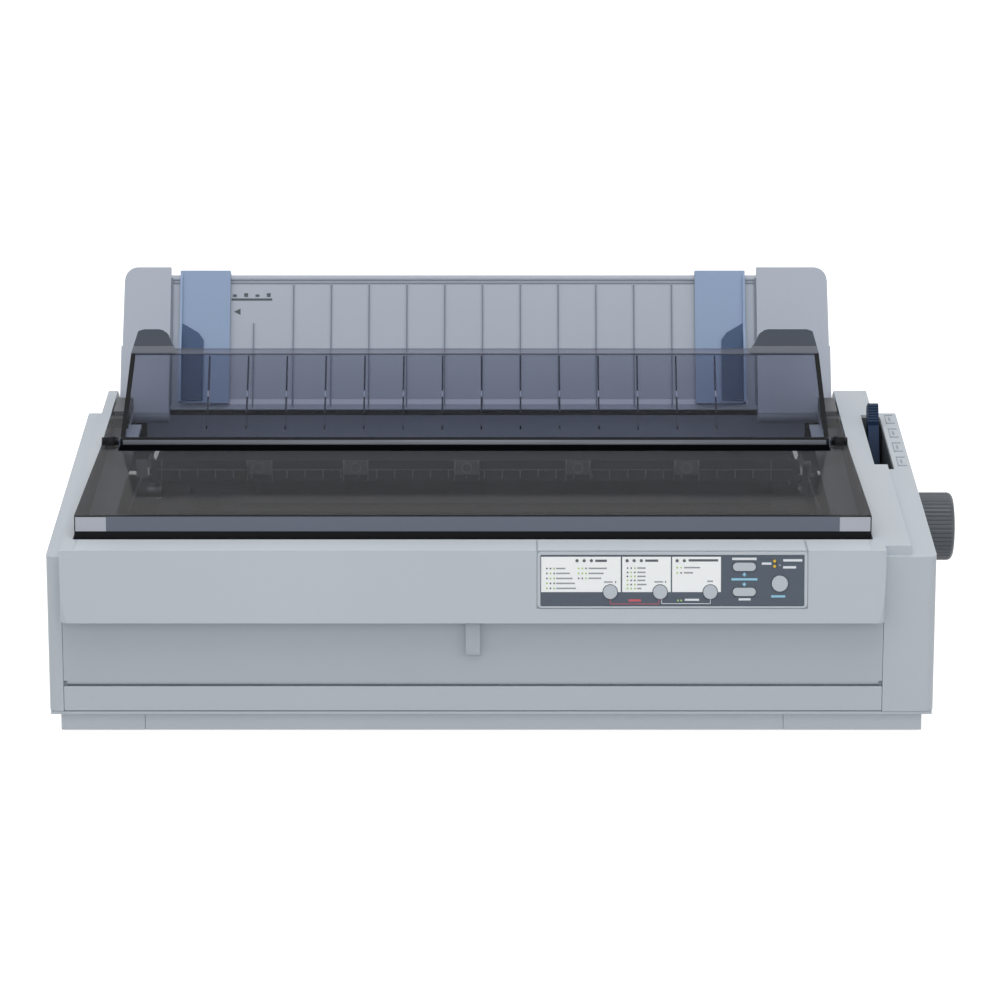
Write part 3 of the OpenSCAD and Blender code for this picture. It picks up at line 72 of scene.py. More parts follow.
# %% Colour helper
def tone(red, green, blue):
    def linear(c):
        c /= 255
        return c / 12.92 if c <= 0.04045 else ((c + 0.055) / 1.055) ** 2.4
    return (linear(red), linear(green), linear(blue), 1)

CASE_GREY = tone(190, 198, 206)
# The front cover is the case's own plastic; its slightly darker grey is painted shade under the
# overhanging front band.
COVER_SHADED_GREY = tone(182, 190, 198)
SHEET_GREY = tone(175, 183, 196)
GUIDE_BLUE = tone(142, 163, 194)
LEVER_BLUE = tone(28, 48, 76)
SLATE = tone(74, 86, 100)
DARK_TRIM = tone(52, 56, 62)
KNOB_GREY = tone(78, 84, 91)
BLACK = tone(22, 23, 25)
STEEL = tone(186, 188, 192)
ACETAL = tone(232, 228, 214)
RUBBER = tone(38, 38, 40)
BOARD_GREEN = tone(30, 92, 56)

# %% [markdown]
# ## Shared effects
# Moulded plastic has a fine spark-eroded grain, and its colour drifts a little over a large wall.
# Dust settles on what faces up. Both effects are node groups, built once and used in many finishes.

# %% Effect group: moulded grain
def new_group(name, inputs, outputs):
    group = bpy.data.node_groups.new(name, "ShaderNodeTree")
    for label, kind, default in inputs:
        socket = group.interface.new_socket(name=label, in_out="INPUT", socket_type=kind)
        socket.default_value = default
    for label, kind in outputs:
        group.interface.new_socket(name=label, in_out="OUTPUT", socket_type=kind)
    return group, group.nodes.new("NodeGroupInput"), group.nodes.new("NodeGroupOutput")

def noise_node(tree, scale, detail=2.0):
    node = tree.nodes.new("ShaderNodeTexNoise")
    node.inputs["Scale"].default_value = scale
    node.inputs["Detail"].default_value = detail
    return node

def math_node(tree, operation, *values):
    """A maths node whose inputs are numbers or outputs of other nodes; its own output is returned."""
    node = tree.nodes.new("ShaderNodeMath")
    node.operation = operation
    for socket, value in zip(node.inputs, values):
        if isinstance(value, bpy.types.NodeSocket):
            tree.links.new(value, socket)
        else:
            socket.default_value = value
    return node.outputs[0]

ROUGHNESS_DRIFT = 0.08
grain, g_in, g_out = new_group("moulded_grain", [
    ("Vector", "NodeSocketVector", (0, 0, 0)), ("Base", "NodeSocketColor", (0.5, 0.5, 0.5, 1)),
    ("Drift", "NodeSocketFloat", 0.04), ("Rough", "NodeSocketFloat", 0.45)],
    [("Colour", "NodeSocketColor"), ("Roughness", "NodeSocketFloat"), ("Height", "NodeSocketFloat")])
fine = noise_node(grain, 900, 3)
broad = noise_node(grain, 9, 2)
for noise in (fine, broad):
    grain.links.new(g_in.outputs["Vector"], noise.inputs["Vector"])
centred = math_node(grain, "SUBTRACT", broad.outputs["Fac"], 0.5)
shift = math_node(grain, "MULTIPLY_ADD", centred, g_in.outputs["Drift"], 1.0)
tinted = grain.nodes.new("ShaderNodeVectorMath")
tinted.operation = "SCALE"
grain.links.new(g_in.outputs["Base"], tinted.inputs[0])
grain.links.new(shift, tinted.inputs["Scale"])
uneven = math_node(grain, "MULTIPLY_ADD", centred, ROUGHNESS_DRIFT, g_in.outputs["Rough"])
grain.links.new(tinted.outputs[0], g_out.inputs["Colour"])
grain.links.new(uneven, g_out.inputs["Roughness"])
grain.links.new(fine.outputs["Fac"], g_out.inputs["Height"])

# %% Effect group: settled dust
dust, d_in, d_out = new_group("settled_dust", [
    ("Vector", "NodeSocketVector", (0, 0, 0)), ("Amount", "NodeSocketFloat", 0.1)],
    [("Mask", "NodeSocketFloat")])
shape = dust.nodes.new("ShaderNodeNewGeometry")
parts = dust.nodes.new("ShaderNodeSeparateXYZ")
dust.links.new(shape.outputs["Normal"], parts.inputs[0])
upward = dust.nodes.new("ShaderNodeMapRange")
upward.inputs["From Min"].default_value = 0.5
upward.inputs["From Max"].default_value = 1.0
dust.links.new(parts.outputs["Z"], upward.inputs["Value"])
patches = noise_node(dust, 60, 4)
dust.links.new(d_in.outputs["Vector"], patches.inputs["Vector"])
thick = math_node(dust, "MULTIPLY", upward.outputs[0], patches.outputs["Fac"])
scaled = math_node(dust, "MULTIPLY", thick, d_in.outputs["Amount"])
dust.links.new(scaled, d_out.inputs["Mask"])
print("effect groups:", [g.name for g in bpy.data.node_groups if g.type == "SHADER"])

# %% [markdown]
# ## Finishes
# A finish is a Principled shader fed by the groups. What is the same all over a surface, such as
# its gloss, is set on the shader itself. What varies comes from the groups.

# %% Finish helper
DUST_COLOUR = tone(205, 203, 198)

def new_finish(name):
    material = bpy.data.materials.new(name)
    material.use_nodes = True
    shader = material.node_tree.nodes["Principled BSDF"]
    place = material.node_tree.nodes.new("ShaderNodeTexCoord")
    return material, material.node_tree, shader, place.outputs["Object"]

def grained(name, colour, rough=0.45, bump=0.03, drift=0.05, dusty=0.06, metal=0.0, gloss=0.5):
    material, tree, shader, place = new_finish(name)
    body = tree.nodes.new("ShaderNodeGroup")
    body.node_tree = grain
    body.inputs["Base"].default_value = colour
    body.inputs["Drift"].default_value = drift
    body.inputs["Rough"].default_value = rough
    film = tree.nodes.new("ShaderNodeGroup")
    film.node_tree = dust
    film.inputs["Amount"].default_value = dusty
    blend = tree.nodes.new("ShaderNodeMix")
    blend.data_type = "RGBA"
    blend.inputs["B"].default_value = DUST_COLOUR
    height = tree.nodes.new("ShaderNodeBump")
    height.inputs["Strength"].default_value = bump
    height.inputs["Distance"].default_value = 0.0002
    for node in (body, film):
        tree.links.new(place, node.inputs["Vector"])
    tree.links.new(film.outputs["Mask"], blend.inputs["Factor"])
    tree.links.new(body.outputs["Colour"], blend.inputs["A"])
    tree.links.new(blend.outputs["Result"], shader.inputs["Base Color"])
    tree.links.new(body.outputs["Roughness"], shader.inputs["Roughness"])
    tree.links.new(body.outputs["Height"], height.inputs["Height"])
    tree.links.new(height.outputs["Normal"], shader.inputs["Normal"])
    shader.inputs["Metallic"].default_value = metal
    shader.inputs["Specular IOR Level"].default_value = gloss
    return material

def clean(name, colour, rough, gloss=0.5, drift=0.05):
    """A finish for small pieces that are sheltered from dust."""
    finishes[name] = grained(name, tone(*colour), rough, 0.02, drift, 0.0, gloss=gloss)

def satin(name, colour, rough=0.4):
    """A finish for small pieces in the open."""
    finishes[name] = grained(name, tone(*colour), rough, 0.03, 0.05, 0.02)

# %% Plastic, metal and rubber finishes
finishes = {
    "case_plastic": grained("case_plastic", CASE_GREY, 0.42, 0.05),
    "cover_plastic_painted_shade": grained("cover_plastic_painted_shade", COVER_SHADED_GREY, 0.42, 0.05),
    "sheet_plastic": grained("sheet_plastic", SHEET_GREY, 0.42, 0.05),
    "guide_blue": grained("guide_blue", GUIDE_BLUE, 0.35, 0.03),
    "lever_blue": grained("lever_blue", LEVER_BLUE, 0.5, 0.04, gloss=0.2),
    "slate_film": grained("slate_film", SLATE, 0.3, 0.01, 0.02, 0.02),
    "dark_trim": grained("dark_trim", DARK_TRIM, 0.38, 0.05),
    "knob_grey": grained("knob_grey", KNOB_GREY, 0.4, 0.05),
    "black_plastic": grained("black_plastic", BLACK, 0.4, 0.05),
    "plated_steel": grained("plated_steel", STEEL, 0.28, 0.03, 0.08, 0.1, 1.0),
    "black_casting": grained("black_casting", BLACK, 0.5, 0.12, 0.2, 0.1, 0.3),
    "acetal": grained("acetal", ACETAL, 0.35, 0.02),
    "roller_rubber": grained("roller_rubber", RUBBER, 0.7, 0.08, 0.1, 0.15),
    "inked_fabric": grained("inked_fabric", tone(14, 14, 18), 0.85, 0.2),
    "circuit_board": grained("circuit_board", BOARD_GREEN, 0.35, 0.03, 0.15),
}
print("finishes:", len(finishes))

# %% [markdown]
# ## Smoke plastic
# The covers are clear plastic with a dark tint. Glass in a path tracer throws a solid shadow, so
# for shadow rays the finish mixes in a plain tinted transparency, and light reaches what is inside.
# A little sheen stands for the haze on the plastic.

# %% Smoke finish
def smoke(name, colour, shade, bend, haze, rough=0.04):
    material, tree, shader, place = new_finish(name)
    shader.inputs["Base Color"].default_value = colour
    shader.inputs["Roughness"].default_value = rough
    shader.inputs["IOR"].default_value = bend
    shader.inputs["Transmission Weight"].default_value = 1.0
    shader.inputs["Sheen Weight"].default_value = haze
    shader.inputs["Sheen Roughness"].default_value = 0.5
    ripple = noise_node(tree, 25, 1)
    height = tree.nodes.new("ShaderNodeBump")
    height.inputs["Strength"].default_value = 0.02
    height.inputs["Distance"].default_value = 0.0004
    tree.links.new(place, ripple.inputs["Vector"])
    tree.links.new(ripple.outputs["Fac"], height.inputs["Height"])
    tree.links.new(height.outputs["Normal"], shader.inputs["Normal"])
    rays = tree.nodes.new("ShaderNodeLightPath")
    clear = tree.nodes.new("ShaderNodeBsdfTransparent")
    clear.inputs["Color"].default_value = shade
    mix = tree.nodes.new("ShaderNodeMixShader")
    tree.links.new(rays.outputs["Is Shadow Ray"], mix.inputs[0])
    tree.links.new(shader.outputs[0], mix.inputs[1])
    tree.links.new(clear.outputs[0], mix.inputs[2])
    tree.links.new(mix.outputs[0], tree.nodes["Material Output"].inputs["Surface"])
    return material

finishes["cover_smoke"] = smoke("cover_smoke", (0.20, 0.20, 0.21, 1), (0.6, 0.6, 0.62, 1), 1.045, 0.12)
finishes["guide_smoke"] = smoke("guide_smoke", (0.40, 0.42, 0.50, 1), (0.75, 0.76, 0.8, 1), 1.15, 0.05)

# %% [markdown]
# ## Which part has which finish
# Each CAD part gets its finish by name. A weld and a small bevel round its edges, because a
# moulded or stamped part has no perfectly sharp edge, and rounded edges catch a thin highlight.

# %% Finishes of the CAD parts
PART_FINISH = {
    "case_plastic": ["lower_case", "upper_case", "base_strip", "lower_front_panel", "control_bezel",
                     "select_button_left", "select_button_middle", "select_button_right",
                     "load_button", "feed_button", "pause_button", "thickness_lever",
                     "tractor_lid_left", "tractor_lid_right"],
    "cover_plastic_painted_shade": ["front_cover"],
    "sheet_plastic": ["sheet_guide"],
    "guide_blue": ["edge_guide_left", "edge_guide_right"],
    "lever_blue": ["release_lever"],
    "slate_film": ["panel_plate"],
    "knob_grey": ["platen_knob"],
    "dark_trim": ["rear_trims", "tractor_left", "tractor_right", "paper_bail", "carriage"],
    "black_plastic": ["ribbon_cartridge", "ribbon_knob", "rear_sockets", "power_switch", "timing_belt"],
    "plated_steel": ["case_fasteners", "side_plate_left", "side_plate_right", "chassis_pan",
                     "rails_and_shafts", "plate_studs", "platen_shaft", "knob_shaft", "feed_pinion",
                     "tractor_shaft", "paper_guide", "power_supply"],
    "black_casting": ["motors", "print_head"],
    "acetal": ["idler_gear_front", "idler_gear_rear", "sprocket_left", "sprocket_right",
               "drive_pulley", "idler_pulley"],
    "roller_rubber": ["platen", "feet", "bail_rollers", "pressure_rollers"],
    "inked_fabric": ["ribbon"],
    "circuit_board": ["main_board", "panel_board"],
    "cover_smoke": ["printer_cover"],
    "guide_smoke": ["guide_cover"],
}
WELD_REACH = 0.01
EDGE = {"upper_case": 0.8, "front_cover": 0.5, "lower_front_panel": 0.5, "sheet_guide": 0.5,
        "base_strip": 0.3, "printer_cover": 0.4, "guide_cover": 0.3, "lower_case": 0.5}
SMALL_EDGE = 0.2

def finish_part(name, finish):
    part = nodes[name]
    part.data.materials.clear()
    part.data.materials.append(finishes[finish])
    for polygon in part.data.polygons:
        polygon.use_smooth = True
    weld = part.modifiers.new("weld", "WELD")
    weld.merge_threshold = WELD_REACH * MM
    edge = part.modifiers.new("edge", "BEVEL")
    edge.width = EDGE.get(name, SMALL_EDGE) * MM
    edge.segments = 2
    edge.limit_method = "ANGLE"
    edge.angle_limit = math.radians(35)
    lean = part.modifiers.new("lean", "WEIGHTED_NORMAL")
    lean.weight = 100
    lean.keep_sharp = True

for finish, names in PART_FINISH.items():
    for name in names:
        finish_part(name, finish)
print("parts without a finish:", sorted(set(nodes) - {n for ns in PART_FINISH.values() for n in ns}))

# %% [markdown]
# ## Making pieces
# Printed marks and small fittings are pieces of their own. Each one is built with its
# points where it belongs, so its object stays at the origin and patterns don't slide. A piece
# then rides on the body that carries it.

# %% Piece helper
def keep_piece(thing, body, finish):
    thing.data.materials.clear()
    thing.data.materials.append(finishes[finish])
    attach(thing, body)
    return thing

def piece_from(name, bm, body, finish, smooth=False):
    bmesh.ops.recalc_face_normals(bm, faces=bm.faces)
    mesh = bpy.data.meshes.new(name)
    bm.to_mesh(mesh)
    bm.free()
    for polygon in mesh.polygons:
        polygon.use_smooth = smooth
    thing = bpy.data.objects.new(name, mesh)
    bpy.context.scene.collection.objects.link(thing)
    return keep_piece(thing, body, finish)

def prism(bm, outline, low, high, place):
    """A flat plate with the given outline, from height low to height high."""
    lower = [bm.verts.new(place(u, v, low)) for u, v in outline]
    upper = [bm.verts.new(place(u, v, high)) for u, v in outline]
    bm.faces.new(list(reversed(lower)))
    bm.faces.new(upper)
    for i in range(len(outline)):
        j = (i + 1) % len(outline)
        bm.faces.new((lower[i], lower[j], upper[j], upper[i]))

def plain_bar(u0, v0, u1, v1):
    return [(u0, v0), (u1, v0), (u1, v1), (u0, v1)]

def world(x, y, z):
    """A point in millimetres, with x from the middle of the casing."""
    return Vector((MID + x, y, z)) * MM

def leaning(origin, angle):
    """Places points on a leaning face: u to the right, v up the face, height out of it."""
    along = Vector((0, math.cos(angle), math.sin(angle)))
    out_of = Vector((0, -math.sin(angle), math.cos(angle)))
    return lambda u, v, height: (Vector(origin) + Vector((u, 0, 0)) + along * v + out_of * height) * MM

def plates(name, body, finish, outlines, low, high, place):
    """A piece made of flat plates, one for each outline."""
    bm = bmesh.new()
    for outline in outlines:
        prism(bm, outline, low, high, place)
    return piece_from(name, bm, body, finish)

def boxes(name, body, finish, corners, smooth=False):
    """A piece made of boxes, each given by its low and its high corner."""
    bm = bmesh.new()
    for low, high in corners:
        prism(bm, plain_bar(*low[:2], *high[:2]), low[2], high[2], world)
    return piece_from(name, bm, body, finish, smooth)

def both_sides(near, far):
    """The spans from near to far on the left and on the right of the middle."""
    return (-far, -near), (near, far)

# %% [markdown]
# ## Things that repeat
# Dots, ticks and the painted shade lines along ribs are the same shape many times over. A Geometry
# Nodes tree places one shape on every point of a list, and a second tree places a small block again
# and again along a line. Both end by realizing their instances and setting the material.

# %% Trees for things that repeat
def new_tree(name, inputs):
    tree = bpy.data.node_groups.new(name, "GeometryNodeTree")
    for label, kind in inputs:
        tree.interface.new_socket(name=label, in_out="INPUT", socket_type=kind)
    tree.interface.new_socket(name="Geometry", in_out="OUTPUT", socket_type="NodeSocketGeometry")
    return tree, tree.nodes.new("NodeGroupInput"), tree.nodes.new("NodeGroupOutput")

def end_tree(tree, given, out, instances):
    real = tree.nodes.new("GeometryNodeRealizeInstances")
    paint = tree.nodes.new("GeometryNodeSetMaterial")
    tree.links.new(instances, real.inputs[0])
    tree.links.new(real.outputs[0], paint.inputs["Geometry"])
    tree.links.new(given.outputs["Finish"], paint.inputs["Material"])
    tree.links.new(paint.outputs[0], out.inputs[0])

dot_tree, given, out = new_tree("studs_on_points", [
    ("Points", "NodeSocketGeometry"), ("Radius", "NodeSocketFloat"), ("Tip", "NodeSocketFloat"),
    ("Height", "NodeSocketFloat"), ("Turn", "NodeSocketVector"), ("Finish", "NodeSocketMaterial")])
stud = dot_tree.nodes.new("GeometryNodeMeshCone")
stud.inputs["Vertices"].default_value = 20
spread = dot_tree.nodes.new("GeometryNodeInstanceOnPoints")
dot_tree.links.new(given.outputs["Tip"], stud.inputs["Radius Top"])
dot_tree.links.new(given.outputs["Radius"], stud.inputs["Radius Bottom"])
dot_tree.links.new(given.outputs["Height"], stud.inputs["Depth"])
dot_tree.links.new(given.outputs["Points"], spread.inputs["Points"])
dot_tree.links.new(stud.outputs["Mesh"], spread.inputs["Instance"])
dot_tree.links.new(given.outputs["Turn"], spread.inputs["Rotation"])
end_tree(dot_tree, given, out, spread.outputs[0])

row_tree, given, out = new_tree("blocks_along_line", [
    ("Count", "NodeSocketInt"), ("Start", "NodeSocketVector"), ("Step", "NodeSocketVector"),
    ("Size", "NodeSocketVector"), ("Turn", "NodeSocketVector"), ("Finish", "NodeSocketMaterial")])
line = row_tree.nodes.new("GeometryNodeMeshLine")
line.mode = "OFFSET"
block = row_tree.nodes.new("GeometryNodeMeshCube")
spread = row_tree.nodes.new("GeometryNodeInstanceOnPoints")
row_tree.links.new(given.outputs["Count"], line.inputs["Count"])
row_tree.links.new(given.outputs["Start"], line.inputs["Start Location"])
row_tree.links.new(given.outputs["Step"], line.inputs["Offset"])
row_tree.links.new(given.outputs["Size"], block.inputs["Size"])
row_tree.links.new(given.outputs["Turn"], spread.inputs["Rotation"])
row_tree.links.new(line.outputs[0], spread.inputs["Points"])
row_tree.links.new(block.outputs["Mesh"], spread.inputs["Instance"])
end_tree(row_tree, given, out, spread.outputs[0])

# %% Run a tree and keep its plain mesh
def grow(name, tree, values, body, finish, points=()):
    mesh = bpy.data.meshes.new(name + "_points")
    mesh.from_pydata([Vector(p) for p in points], [], [])
    seed = bpy.data.objects.new(name + "_seed", mesh)
    bpy.context.scene.collection.objects.link(seed)
    step = seed.modifiers.new("grow", "NODES")
    step.node_group = tree
    for item in tree.interface.items_tree:
        if item.in_out == "INPUT" and item.name in values:
            step[item.identifier] = values[item.name]
        if item.in_out == "INPUT" and item.name == "Finish":
            step[item.identifier] = finishes[finish]
    seed.update_tag()
    ready = seed.evaluated_get(bpy.context.evaluated_depsgraph_get())
    grown = bpy.data.meshes.new_from_object(ready)
    bpy.data.objects.remove(seed)
    thing = bpy.data.objects.new(name, grown)
    bpy.context.scene.collection.objects.link(thing)
    print(name, len(grown.polygons), "faces")
    return keep_piece(thing, body, finish)

def row(name, count, start, step, size, body, finish, turn=(0.0, 0.0, 0.0)):
    values = {"Count": count, "Start": world(*start), "Step": Vector(step) * MM,
              "Size": Vector(size) * MM, "Turn": Vector(turn)}
    return grow(name, row_tree, values, body, finish)

# %% [markdown]
# ## Control panel print
# The face of the panel leans back by 8 degrees. Marks are given as millimetres along and up that
# face. The words of the real panel are replaced with plain bars of about the same length.

# %% Finishes of the print
def ink(name, colour, rough=0.4):
    finishes[name] = grained(name, tone(*colour), rough, 0.01, 0.02, 0.0)

ink("label_white", (250, 253, 254))
ink("ink_grey", (150, 155, 160))
ink("ink_dark", (84, 90, 96))
ink("ink_green", (168, 205, 120))
ink("ink_white", (228, 234, 240))
ink("ink_blue", (150, 205, 232))
ink("ink_red", (200, 92, 104))
ink("lamp_off", (88, 94, 98), 0.2)
ink("lamp_amber", (232, 190, 70), 0.2)

# %% Panel frame
PANEL_LEAN = math.radians(8.22952)
PRINT_LOW = 0.29
PRINT_TOP = 0.36
INK_TOP = 0.40
on_panel = leaning((MID + 43, -201, 80), math.pi / 2 - PANEL_LEAN)

def panel_print(name, bars, finish, top=INK_TOP):
    outlines = [bar if isinstance(bar[0], tuple) else plain_bar(*bar) for bar in bars]
    return plates(name, "case", finish, outlines, PRINT_LOW, top, on_panel)

def cut_corner(bar, spot, radius):
    """A label whose lower edge is cut by the round button that stands in it."""
    u0, v0, u1, v1 = bar
    su, sv = spot
    reach = math.sqrt(max(radius ** 2 - (sv - v0) ** 2, 0))
    start = math.atan2(v0 - sv, -reach)
    end = math.atan2(v0 - sv, reach)
    if start < 0:
        start += 2 * math.pi
    steps = [start + (end - start) * i / 14 for i in range(15)]
    arc = [(su + radius * math.cos(a), sv + radius * math.sin(a)) for a in steps]
    arc = [(min(u, u1), v) for u, v in arc]
    return [(u0, v0)] + arc + ([(u1, v0)] if su + reach < u1 - 0.2 else []) + [(u1, v1), (u0, v1)]

BUTTON_V, BUTTON_R = 21.3, 5.2
LABEL_FOOT, LABEL_TOP = 21.2, 45.0
LABELS = ((3.0, 56.3, 49.3), (57.3, 89.9, 82.8), (90.8, 123.5, 116.4))
panel_print("panel_labels", [
    cut_corner((left, LABEL_FOOT, right, LABEL_TOP), (button, BUTTON_V), BUTTON_R)
    for left, right, button in LABELS], "label_white", PRINT_TOP)

# %% Bars, brackets and arrows
def word(u, v, length, height=1.0):
    return (u, v - height / 2, u + length, v + height / 2)

WORD_ROWS = {
    13.0: [(37.1, 6.1), (33.8, 9.2), (30.4, 11.0), (27.1, 12.6), (23.7, 13.2)],
    34.7: [(37.2, 12.3), (33.8, 10.1), (30.5, 8.6)],
    67.4: [(37.4, 5.6), (34.5, 5.6), (31.8, 5.6), (29.1, 5.4), (26.3, 6.2), (23.6, 2.8)],
    98.7: [(37.7, 10.8), (34.2, 6.1)],
}
panel_print("panel_words", [word(u, v, length) for u, rows in WORD_ROWS.items() for v, length in rows]
            + [word(45.1, 28.0, 5.9), word(78.9, 28.1, 5.9), word(114.2, 28.5, 4.0)], "ink_grey")
panel_print("panel_headings", [word(39.2, 42.3, 7.8, 1.6), word(72.7, 42.4, 8.7, 1.6),
                               word(101.8, 42.6, 19.8, 1.6),
                               [(52.4, 28.0), (52.9, 27.1), (53.4, 28.0), (52.9, 28.9)],
                               [(85.9, 28.1), (86.4, 27.2), (86.9, 28.1), (86.4, 29.0)]], "ink_dark")
panel_print("panel_white_words", [
    word(131.0, 43.6, 16.4, 1.6), word(135.5, 16.3, 8.0, 1.5), word(150.9, 40.4, 6.4, 1.5),
    word(165.2, 42.6, 12.8, 1.6), word(165.2, 37.9, 8.7, 1.6), word(162.4, 39.4, 1.2, 0.4),
    word(99.3, 16.0, 9.6, 1.4), (83.6, 13.2, 84.0, 16.6), (83.6, 13.2, 116.7, 13.6),
    (116.3, 13.2, 116.7, 16.4)], "ink_white")
panel_print("panel_blue_marks", [
    word(130.6, 29.8, 17.4, 1.5),
    [(137.7, 32.6), (138.8, 32.6), (138.8, 31.8), (139.6, 31.8), (139.6, 32.6), (140.7, 32.6),
     (139.2, 34.6)],
    [(137.7, 26.9), (139.2, 24.9), (140.7, 26.9), (139.6, 26.9), (139.6, 27.7), (138.8, 27.7),
     (138.8, 26.9)],
    word(157.3, 18.3, 9.4, 1.5)], "ink_blue")
panel_print("panel_red_marks", [word(61.6, 15.6, 8.3, 1.5), (49.1, 13.0, 49.5, 16.4),
                                (49.1, 13.0, 82.2, 13.4), (81.8, 13.0, 82.2, 16.4)], "ink_red")

# %% Dots and lamps
TO_PANEL = (math.pi / 2 - PANEL_LEAN, 0.0, 0.0)

def panel_dots(name, spots, radius, finish, height=0.1, tip=None):
    values = {"Radius": radius * MM, "Tip": (tip or radius) * MM, "Height": height * MM,
              "Turn": Vector(TO_PANEL)}
    return grow(name, dot_tree, values, "case", finish,
                [on_panel(u, v, 0.31) for u, v in spots])

DOT_ROWS = [
    (6.8, 2.42, 37.1, "ggn"), (6.8, 2.42, 33.8, "gng"), (6.8, 2.42, 30.4, "gnn"),
    (6.8, 2.42, 27.1, "ngg"), (6.8, 2.42, 23.7, "ngn"),
    (28.1, 2.46, 37.2, "nng"), (28.1, 2.46, 33.8, "nnn"), (28.1, 2.46, 30.5, "ggn"),
    (60.9, 2.45, 37.4, "ggn"), (60.9, 2.45, 34.5, "gng"), (60.9, 2.45, 31.8, "gnn"),
    (60.9, 2.45, 29.1, "ngg"), (60.9, 2.45, 26.3, "ngn"), (60.9, 2.45, 23.6, "nnn"),
    (94.2, 2.6, 37.7, "nn"), (94.2, 2.6, 34.2, "ng"), (94.8, 2.1, 15.6, "nn"),
]
spots = {"g": [], "n": []}
for start, pitch, height, code in DOT_ROWS:
    for i, kind in enumerate(code):
        spots[kind].append((start + i * pitch, height))
panel_dots("panel_dots_green", spots["n"], 0.62, "ink_green", 0.18)
panel_dots("panel_dots_grey", spots["g"], 0.58, "ink_dark", 0.18)
panel_dots("panel_lamps_off", [(u, 42.4) for u in (27, 31.8, 36.6, 60.6, 65.3, 70.1, 94.1, 98.9)],
           1.12, "lamp_off", 0.5, 0.85)
panel_dots("panel_lamps_amber", [(159.5, 42.0), (159.5, 38.5)], 1.1, "lamp_amber", 0.6, 0.8)

# %% [markdown]
# ## Seams of the panel frame
# On the real printer the panel frame bends over the top edge of the front band. The case here ends
# at that edge, so two thin dark seams carry the frame's outline over the slope above it. The slope
# catches more light from above than the band, so thin lighter plates of painted light lie on it.

# %% Panel frame seams on the slope
SLOPE_FOOT_Y, SLOPE_FOOT_Z = -194, 128.4
SLOPE = (131 - SLOPE_FOOT_Z) / 22

def on_slope(x, y, height):
    return Vector((x, y, SLOPE_FOOT_Z + (y - SLOPE_FOOT_Y) * SLOPE + height)) * MM

clean("seam_shadow", (96, 102, 108), 0.6, 0.1, 0.1)
plates("panel_frame_seams", "case", "seam_shadow", [
    [(10.9, -194.2), (11.2, -194.2), (11.4, -176), (11.1, -176)],
    [(192.6, -194.2), (192.9, -194.2), (192.1, -176), (191.8, -176)]], -0.1, 0.05, on_slope)

# %% Painted light along the top of the front band
satin("band_painted_light", (208, 215, 222))
plates("band_top_painted_light", "case", "band_painted_light", [
    plain_bar(left, -193.4, right, -172.6) for left, right in ((-299, 10.4), (12, 191.2), (193.4, 235))],
    -0.1, 0.08, on_slope)

# %% [markdown]
# ## Dark parts of the covers
# The covers' edges look black because light is trapped in the thick smoke plastic there, and the gap
# below the front lip lies in shadow. Thin dark pieces just inside the edges are painted shade for both.
# The hinge between the two covers is a dark rod, with a painted highlight along its front.

# %% Finishes of the covers' pieces
clean("cover_black", (20, 21, 24), 0.4, 0.1)
clean("lip_grey", (106, 113, 126), 0.3, 0.2)
clean("lip_pale", (184, 188, 198), 0.3, 0.2)
clean("ear_dark", (70, 76, 87), 0.5, 0.05)
clean("ear_painted_light", (108, 112, 120), 0.5, 0.05)
satin("hinge_painted_highlight", (108, 112, 122), 0.25)
clean("hinge_black", (8, 9, 11), 0.6, 0.0)

# %% Cover edges, with painted shade
COVER_HALF = 269.5
LIP_FRONT = -169.7
LIP_OUT, LIP_IN = LIP_FRONT - 0.3, LIP_FRONT - 0.02
LIP_FOOT, LIP_TOP = 136.2, 146.4
LEDGE_END = 248
boxes("cover_lip", "printer_cover", "lip_grey",
      [((-LEDGE_END, LIP_OUT, LIP_FOOT), (LEDGE_END, LIP_IN, LIP_TOP))])
boxes("cover_lip_ends", "printer_cover", "lip_pale",
      [((left, LIP_OUT, LIP_FOOT), (right, LIP_IN, LIP_TOP - 0.4))
       for left, right in both_sides(LEDGE_END, COVER_HALF - 0.8)])
EDGE_END = COVER_HALF - 0.3
# The dark strips below the lip, along its top and on the top front edge are painted shade of the gap and
# of the crease.
boxes("cover_edge_painted_shade", "printer_cover", "cover_black", [
    ((-EDGE_END, LIP_OUT, 129.2), (EDGE_END, LIP_IN, LIP_FOOT)),
    ((-EDGE_END, LIP_OUT, LIP_TOP), (EDGE_END, LIP_IN, LIP_TOP + 0.6)),
    ((-LEDGE_END, LIP_FRONT + 0.6, 147.02), (LEDGE_END, LIP_FRONT + 3.4, 147.2))])

# %% Shadow band in front of the hinge
HINGE_Y, HINGE_Z = 20, 156.055
COVER_RISE = 0.048

def on_cover(x, y, height):
    return world(x, y, HINGE_Z + (y - HINGE_Y) * COVER_RISE + height)

plates("hinge_shadow", "printer_cover", "hinge_black",
       [plain_bar(-256, -0.8, 256, 14.4)], -0.1, 0.15, on_cover)

# %% Hinge rod of the guide cover
def along_x(u, v, w):
    return world(w, u, v)

def rod(name, body, x0, x1, radius, sides=24):
    turns = [2 * math.pi * i / sides for i in range(sides)]
    circle = [(HINGE_Y + radius * math.cos(a), HINGE_Z + radius * math.sin(a)) for a in turns]
    bm = bmesh.new()
    prism(bm, circle, x0, x1, along_x)
    piece_from(name, bm, body, "cover_black", True)

